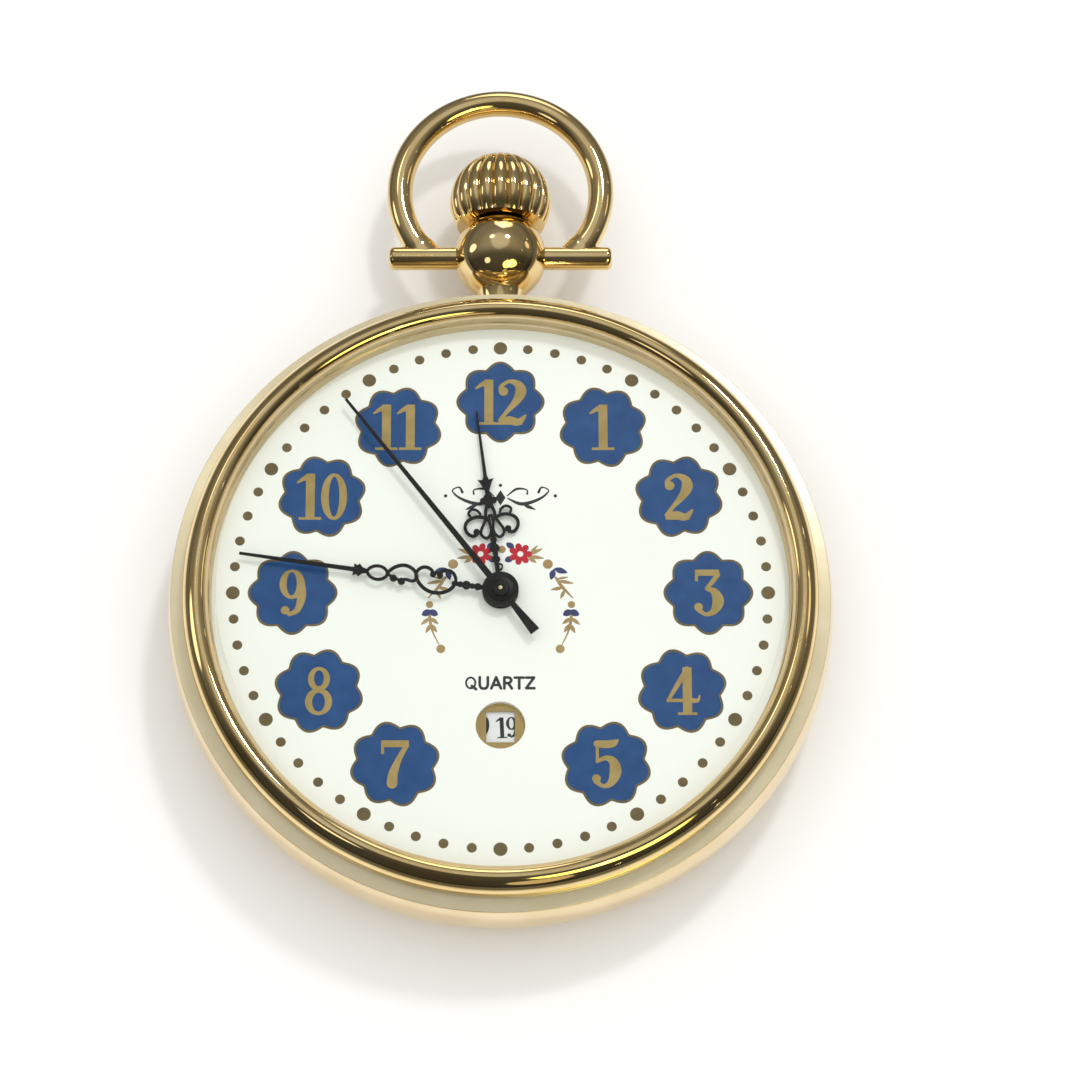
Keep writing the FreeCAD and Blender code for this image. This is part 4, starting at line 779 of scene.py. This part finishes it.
def numeral_seven():
    bar = union(box(-0.26, 0.84, 0.27, 0.98), box(-0.27, 0.7, -0.21, 0.98))
    slant = pen((0.23, 0.88, 0.045), (0.08, 0.6, 0.06), (-0.03, 0.3, 0.09), (-0.05, 0.1, 0.105))
    return union(bar, slant)


def numeral_eight():
    upper = without(oval(0, 0.745, 0.215, 0.25), oval(0, 0.76, 0.095, 0.165))
    lower = without(oval(0, 0.275, 0.265, 0.28), oval(0, 0.265, 0.125, 0.195))
    return union(upper, lower)


def numeral_nine():
    ring = without(oval(-0.01, 0.68, 0.25, 0.31), oval(-0.02, 0.69, 0.1, 0.25))
    tail = pen((0.17, 0.7, 0.07), (0.18, 0.42, 0.085), (0.1, 0.14, 0.06), (-0.06, 0.045, 0.04))
    return union(ring, tail, disc(-0.14, 0.13, 0.085))


def numeral_zero():
    return without(oval(0, 0.495, 0.26, 0.5), oval(0, 0.495, 0.105, 0.43))


FIGURES = (
    numeral_zero, numeral_one, numeral_two, numeral_three, numeral_four,
    numeral_five, numeral_six, numeral_seven, numeral_eight, numeral_nine,
)
NUMERALS = {str(value): draw() for value, draw in enumerate(FIGURES)}


def number_field(text, cx, cy, height, spread=0.48, turn=0.0):
    """A one- or two-figure number centred on a point."""
    fields = []
    middle = (len(text) - 1) / 2
    for place, figure in enumerate(text):
        along = (place - middle) * spread * height
        dx = along * math.cos(turn) + height / 2 * math.sin(turn)
        dy = along * math.sin(turn) - height / 2 * math.cos(turn)
        fields.append(moved(NUMERALS[figure], cx + dx, cy + dy, height, turn))
    return union(*fields)


def on_clock(radius, hours):
    """The point at a radius, with the angle in hours clockwise from twelve."""
    angle = math.radians(30 * hours)
    return radius * math.sin(angle), radius * math.cos(angle)


def build_hour_plaques():
    rims = []
    fills = []
    figures = []
    for hour in (1, 2, 3, 4, 5, 7, 8, 9, 10, 11, 12):
        x, y = on_clock(NUMERAL_CIRCLE, hour)
        turn = -math.radians(30 * hour)
        rims.append((moved(cartouche(0.06), x, y, 1, turn), x, y, 3.6, 3.6, 0.07))
        fills.append((moved(cartouche(-0.13), x, y, 1, turn), x, y, 3.6, 3.6, 0.07))
        number = number_field(str(hour), x, y, NUMERAL_HEIGHT)
        figures.append((number, x, y, 2.6, 2.2, 0.035))
    printed("plaque_rims", rims, DIAL_TOP, DIAL_TOP + THIN_PRINT, PRINT_BROWN)
    printed("blue_plaques", fills, DIAL_TOP, DIAL_TOP + 0.02, BLUE)
    printed("hour_numerals", figures, DIAL_TOP, DIAL_TOP + 0.03, PRINT_GOLD)


def build_minute_track():
    dots = []
    for minute in range(60):
        x, y = on_clock(MINUTE_CIRCLE, minute / 5)
        radius = 0.51 if minute % 5 == 0 else 0.365
        dots.append((disc(x, y, radius), x, y, 0.7, 0.7, 0.06))
    printed("minute_dots", dots, DIAL_TOP, DIAL_TOP + THIN_PRINT, PRINT_BROWN)


def flower(cx, cy):
    """Seven round petals about a centre."""

    def field(x, y):
        dx, dy = x - cx, y - cy
        angle = np.arctan2(dy, dx)
        petal = np.abs(np.cos(3.5 * angle)) ** 0.5
        return 0.42 + 0.45 * petal - np.hypot(dx, dy)

    return field


def build_wreath():
    """A garland of leaves, sprays and berries above the centre, with two red flowers."""
    flower_x, flower_y = 1.48, 3.08
    heart = 0.22
    golden = union(
        leaf(2.1, 2.9, 3.2, 2.75, 0.11), leaf(2.1, 3.05, 3.1, 3.5, 0.12), leaf(2.1, 2.8, 2.65, 2.4, 0.11),
        leaf(2.2, 3.15, 2.75, 3.75, 0.08),
        disc(3.52, 2.28, 0.37), disc(5.25, -0.93, 0.27), disc(4.4, -4.42, 0.33),
        pen((4.1, 1.2, 0.09), (4.55, 0.5, 0.12), (5.35, -0.4, 0.04)),
        leaf(4.3, 0.95, 5.4, 0.75, 0.1), leaf(4.6, 0.4, 3.75, 0.25, 0.1), leaf(4.75, 0.2, 4.45, -0.45, 0.1),
        leaf(4.2, 1.1, 5.0, 1.25, 0.07),
        pen((5.25, -1.75, 0.1), (5.15, -2.5, 0.11), (4.95, -3.2, 0.06), (4.55, -4.05, 0.04)),
        leaf(5.25, -2.0, 5.85, -2.5, 0.11), leaf(5.15, -2.0, 4.6, -2.45, 0.11),
        leaf(5.15, -2.5, 5.5, -3.15, 0.11), leaf(5.1, -2.5, 4.7, -3.1, 0.11),
    )
    bluish = union(
        leaf(0.95, 3.6, 0.45, 3.95, 0.17), leaf(0.85, 2.75, 0.35, 2.55, 0.18),
        leaf(4.05, 1.9, 4.95, 1.6, 0.17), leaf(3.95, 1.8, 3.75, 1.05, 0.17),
        leaf(5.2, -1.45, 5.8, -1.75, 0.19), leaf(5.2, -1.45, 4.65, -1.75, 0.19),
    )
    reach = (0, 0, 7.0, 5.4, 0.035)
    berries = union(flipped(golden), disc(0.1, 3.45, 0.29))
    printed("wreath_gold", [(berries, *reach)], DIAL_TOP, DIAL_TOP + 0.014, LEAF_GOLD)
    printed("wreath_blue", [(flipped(bluish), *reach)], DIAL_TOP, DIAL_TOP + 0.017, LEAF_BLUE)
    hearts = flipped(disc(flower_x, flower_y, heart))
    petals = without(flipped(flower(flower_x, flower_y)), hearts)
    printed("wreath_flowers", [(petals, *reach)], DIAL_TOP, DIAL_TOP + 0.02, PRINT_RED)
    printed("flower_hearts", [(hearts, *reach)], DIAL_TOP, DIAL_TOP + 0.02, PRINT_WHITE)


def letter_fields():
    """Capitals one unit high, drawn with a round pen, each with its place along the word."""
    half_width = 0.105

    def stroke(*points):
        return pen(*[(x, y, half_width) for x, y in points])

    ring = without(oval(0, 0.5, 0.42, 0.5), oval(0, 0.5, 0.27, 0.35))
    letter_q = union(ring, stroke((0.08, 0.26), (0.4, 0.0)))
    letter_u = stroke(
        (-0.3, 0.95), (-0.3, 0.35), (-0.18, 0.09), (0, 0.06), (0.18, 0.09), (0.3, 0.35), (0.3, 0.95)
    )
    sides = union(stroke((-0.36, 0.06), (0, 0.95)), stroke((0, 0.95), (0.36, 0.06)))
    letter_a = union(sides, stroke((-0.2, 0.34), (0.2, 0.34)))
    stem = stroke((-0.28, 0.06), (-0.28, 0.94))
    bowl = stroke((-0.28, 0.93), (0.08, 0.92), (0.24, 0.72), (0.08, 0.5), (-0.28, 0.49))
    letter_r = union(stem, bowl, stroke((0.02, 0.48), (0.28, 0.06)))
    letter_t = union(stroke((-0.33, 0.92), (0.33, 0.92)), stroke((0, 0.9), (0, 0.06)))
    bars = union(stroke((-0.3, 0.92), (0.28, 0.92)), stroke((-0.3, 0.08), (0.31, 0.08)))
    letter_z = union(bars, stroke((0.27, 0.9), (-0.29, 0.1)))
    return [
        (letter_q, 0.0), (letter_u, 0.95), (letter_a, 1.85),
        (letter_r, 2.72), (letter_t, 3.53), (letter_z, 4.33),
    ]


def build_movement_word():
    """The generic movement word under the centre."""
    height = 0.98
    spacing = 1.03
    baseline = -7.57
    letters = letter_fields()
    middle = letters[-1][1] / 2
    placed = [moved(field, (at - middle) * height * spacing, baseline, height) for field, at in letters]
    shape = (union(*placed), 0, -7.08, 3.4, 0.8, 0.025)
    printed("movement_word", [shape], DIAL_TOP, DIAL_TOP + THIN_PRINT, PRINT_DARK)


def build_flourish():
    """A plain symmetric ornament above the centre."""
    middle = 7.6
    long_curl = pen(
        (0.55, 7.55, 0.05), (1.6, 7.1, 0.14), (2.9, 7.5, 0.1),
        (3.6, 8.15, 0.05), (3.1, 8.45, 0.06), (2.85, 8.05, 0.1),
    )
    short_curl = pen((0.5, 7.75, 0.04), (1.2, 8.3, 0.09), (1.95, 8.25, 0.05), (2.0, 7.9, 0.07))
    sprig = union(long_curl, short_curl, leaf(1.7, 7.05, 2.6, 6.65, 0.1), disc(4.1, 7.75, 0.13))
    centre = union(lozenge(0, middle, 0.34), disc(0, 8.6, 0.13), disc(0, 6.7, 0.1))
    shape = (union(flipped(sprig), centre), 0, middle, 4.8, 1.6, 0.03)
    printed("flourish", [shape], DIAL_TOP, DIAL_TOP + THIN_PRINT, PRINT_DARK)


def build_date_numbers():
    """One to thirty-one round the date ring, part way through the change from nineteen."""
    level = high("date_ring", Z)
    days = 31
    shown = 19
    figure_height = 1.62
    figure_spread = 0.46
    lag = math.radians(2.6)
    shapes = []
    for day in range(1, days + 1):
        turn = lag - (day - shown) * 2 * math.pi / days
        x = DATE_CIRCLE * math.sin(turn)
        y = -DATE_CIRCLE * math.cos(turn)
        number = number_field(str(day), x, y, figure_height, figure_spread, turn)
        shapes.append((number, x, y, 1.2, 1.2, 0.03))
    printed("date_numbers", shapes, level, level + THIN_PRINT, PRINT_DARK, "date")


# ---------------------------------------------------------------- hands' centre caps


def build_hand_caps():
    """The stepped cap of the seconds hand with its bright arbor end."""
    top = high("second_hand", Z)
    base = low("second_hand", Z) + 0.13
    bore = 0.16
    cap = [(bore, base), (1.0, base), (0.98, base + 0.05), (0.66, base + 0.07)]
    cap += [(0.6, top + 0.03), (bore, top + 0.04)]
    lathe("second_cap", cap, BLACK, 96, body="seconds", edge=0.02)
    tip = [(0, base), (0.15, base), (0.15, top + 0.06), (0.1, top + 0.11), (0, top + 0.12)]
    lathe("arbor_tip", tip, STEEL, 48, body="seconds", edge=0.02)


# ---------------------------------------------------------------- stage


def dim_far_floor_in_reflections(paint):
    """Polished metal sees the floor as a bright pool that ends a little way beyond the watch."""
    pale = paint.shader.inputs["Base Color"].links[0].from_socket
    place = paint.node("ShaderNodeNewGeometry").outputs["Position"]
    away = paint.node("ShaderNodeVectorMath", operation="LENGTH")
    paint.link(place, away.inputs[0])
    pool = paint.node("ShaderNodeMapRange", interpolation_type="SMOOTHSTEP")
    pool.inputs["From Min"].default_value = 34 * MM
    pool.inputs["From Max"].default_value = 56 * MM
    pool.inputs["To Min"].default_value = 0.0
    pool.inputs["To Max"].default_value = 0.9
    paint.link(away.outputs["Value"], pool.inputs["Value"])
    seen = paint.node("ShaderNodeMath", operation="MULTIPLY")
    paint.link(paint.node("ShaderNodeLightPath").outputs["Is Glossy Ray"], seen.inputs[0])
    paint.link(pool.outputs["Result"], seen.inputs[1])
    dim = paint.node("ShaderNodeMix", data_type="RGBA")
    paint.link(seen.outputs[0], dim.inputs["Factor"])
    paint.link(pale, dim.inputs[6])
    dim.inputs[7].default_value = (0.03, 0.027, 0.02, 1)
    paint.link(dim.outputs[2], paint.shader.inputs["Base Color"])


def build_stage():
    bpy.ops.mesh.primitive_plane_add(size=6, location=(0, 0, -0.00002))
    floor = bpy.context.object
    floor.name = "floor"
    paint = Paint("pale_floor")
    paint.mottled((0.955, 0.955, 0.95), (0.975, 0.975, 0.97), 8)
    paint.set(Roughness=0.75, Specular_IOR_Level=0.2)
    dim_far_floor_in_reflections(paint)
    floor.data.materials.append(paint.material)

    key = bpy.data.lights.new("key", "AREA")
    key.energy = 1.2
    key.size = 0.09
    lamp = bpy.data.objects.new("key", key)
    lamp.location = (0.20, 0.40, 0.62)
    lamp.rotation_euler = (-Vector(lamp.location)).to_track_quat("-Z", "Y").to_euler()
    bpy.context.scene.collection.objects.link(lamp)


FLAT_MIRROR = (0, 0.355, 0.935)
# Each panel: the way toward it, the angles in degrees where it is full and where it ends, and its colour.
PANELS = [
    (FLAT_MIRROR, 17, 25, (0.24, 0.25, 0.27)),
    (FLAT_MIRROR, 3, 7, (-0.16, -0.17, -0.18)),
    ((0, 0.57, 0.82), 5, 10, (1.4, 1.42, 1.45)),
    ((0, 0.84, 0.54), 3, 8, (0.9, 0.88, 0.8)),
    ((0.1, 0.93, 0.33), 7, 14, (1.3, 1.27, 1.15)),
    ((-0.3, 0.55, 0.78), 4, 7, (1.8, 1.75, 1.6)),
    ((0.52, -0.56, 0.65), 9, 13, (3.2, 3.1, 1.0)),
    ((0.28, -0.62, 0.73), 6, 10, (2.6, 2.5, 0.9)),
    ((0.85, 0.35, 0.40), 3, 7, (0.9, 0.78, 0.55)),
    ((-0.9, 0.2, 0.25), 4, 8, (1.5, 1.45, 1.3)),
    ((0.2, -0.9, 0.38), 2, 4, (0.6, 0.5, 0.35)),
    ((-0.55, -0.5, 0.66), 3, 6, (1.2, 1.15, 1.0)),
]


class Sky:
    """The world's node tree, with short ways to join its nodes."""

    def __init__(self, tree):
        self.nodes = tree.nodes
        self.links = tree.links
        self.direction = self.nodes.new("ShaderNodeTexCoord").outputs["Generated"]

    def maths(self, kind, operation, *sources):
        made = self.nodes.new(kind)
        made.operation = operation
        for slot, source in zip(made.inputs, sources):
            if isinstance(source, bpy.types.NodeSocket):
                self.links.new(source, slot)
            else:
                slot.default_value = source
        return made

    def scaled(self, vector, factor):
        made = self.maths("ShaderNodeVectorMath", "SCALE", vector)
        if isinstance(factor, bpy.types.NodeSocket):
            self.links.new(factor, made.inputs["Scale"])
        else:
            made.inputs["Scale"].default_value = factor
        return made.outputs[0]

    def total(self, first, second):
        return self.maths("ShaderNodeVectorMath", "ADD", first, second).outputs[0]

    def smooth_step(self, source, start, end, least=0.0):
        step = self.nodes.new("ShaderNodeMapRange")
        step.interpolation_type = "SMOOTHSTEP"
        step.inputs["From Min"].default_value = start
        step.inputs["From Max"].default_value = end
        step.inputs["To Min"].default_value = least
        self.links.new(source, step.inputs["Value"])
        return step.outputs["Result"]

    def bent_direction(self):
        """The direction with a slow wobble, so that no reflected edge is perfectly clean."""
        ripple = self.nodes.new("ShaderNodeTexNoise")
        ripple.inputs["Scale"].default_value = 1.7
        ripple.inputs["Detail"].default_value = 0.5
        self.links.new(self.direction, ripple.inputs["Vector"])
        middle = (0.5, 0.5, 0.5)
        centred = self.maths("ShaderNodeVectorMath", "SUBTRACT", ripple.outputs["Color"], middle).outputs[0]
        return self.total(self.direction, self.scaled(centred, 0.1))

    def dim_room(self, bent):
        """Grey levels by height, darker on the six o'clock side."""
        split = self.nodes.new("ShaderNodeSeparateXYZ")
        self.links.new(bent, split.inputs[0])
        ramp = self.nodes.new("ShaderNodeValToRGB")
        stops = [(0.0, 0.10), (0.25, 0.2), (0.5, 0.2), (0.75, 0.28), (1.0, 0.34)]
        elements = ramp.color_ramp.elements
        while len(elements) < len(stops):
            elements.new(0.5)
        for element, (position, level) in zip(elements, stops):
            element.position = position
            element.color = (level, level * 0.97, level * 0.9, 1)
        self.links.new(split.outputs["Z"], ramp.inputs["Fac"])
        return self.scaled(ramp.outputs["Color"], self.smooth_step(split.outputs["Y"], -0.3, 0.25, 0.25))

    def panel(self, bent, toward, inner, outer, colour):
        facing = self.maths("ShaderNodeVectorMath", "DOT_PRODUCT", bent, Vector(toward).normalized())
        start, end = math.cos(math.radians(outer)), math.cos(math.radians(inner))
        return self.scaled(colour, self.smooth_step(facing.outputs["Value"], start, end))

    def spots(self):
        """A few small lamps."""
        cells = self.nodes.new("ShaderNodeTexVoronoi")
        cells.inputs["Scale"].default_value = 4.2
        self.links.new(self.direction, cells.inputs["Vector"])
        inside = self.maths("ShaderNodeMath", "LESS_THAN", cells.outputs["Distance"], 0.05)
        return self.scaled((5.0, 4.9, 4.4), inside.outputs[0])


def build_world():
    """Even pale light for everything dull; mirror reflections see a dim room with a few bright panels."""
    world = bpy.data.worlds.new("studio")
    world.use_nodes = True
    bpy.context.scene.world = world
    sky = Sky(world.node_tree)
    bent = sky.bent_direction()
    room = sky.dim_room(bent)
    for panel in PANELS:
        room = sky.total(room, sky.panel(bent, *panel))
    room = sky.total(room, sky.spots())

    path = sky.nodes.new("ShaderNodeLightPath")
    mix = sky.nodes.new("ShaderNodeMix")
    mix.data_type = "VECTOR"
    sky.links.new(path.outputs["Is Glossy Ray"], mix.inputs["Factor"])
    even_light = (0.99, 0.99, 0.97)
    mix.inputs[4].default_value = even_light
    sky.links.new(room, mix.inputs[5])
    colour = next(slot for slot in mix.outputs if slot.enabled)
    background = sky.nodes["Background"]
    sky.links.new(colour, background.inputs["Color"])
    background.inputs["Strength"].default_value = 1.0


def build_camera():
    """Looks at the dial from the six o'clock side, a little off the picture's middle."""
    lean = math.radians(20.8)
    distance = 294
    camera = bpy.data.cameras.new("camera")
    camera.lens = 132.3
    camera.sensor_width = 36
    camera.shift_x = 0.0366
    camera.shift_y = 0.0489
    camera.clip_start = 0.01
    eye = bpy.data.objects.new("camera", camera)
    eye.location = (0, -distance * math.sin(lean) * MM, (DIAL_TOP + distance * math.cos(lean)) * MM)
    eye.rotation_euler = (lean, 0, 0)
    bpy.context.scene.collection.objects.link(eye)
    bpy.context.scene.camera = eye
    bpy.context.scene.view_settings.view_transform = "Standard"


finish_cad_nodes()
build_band()
build_back()
build_bezel()
build_flange()
build_crystal()
build_pendant()
build_crown()
build_bow_loop()
build_bow_bar(-1, "left")
build_bow_bar(1, "right")
build_hour_plaques()
build_minute_track()
build_wreath()
build_movement_word()
build_flourish()
build_date_numbers()
build_hand_caps()
build_stage()
build_world()
build_camera()
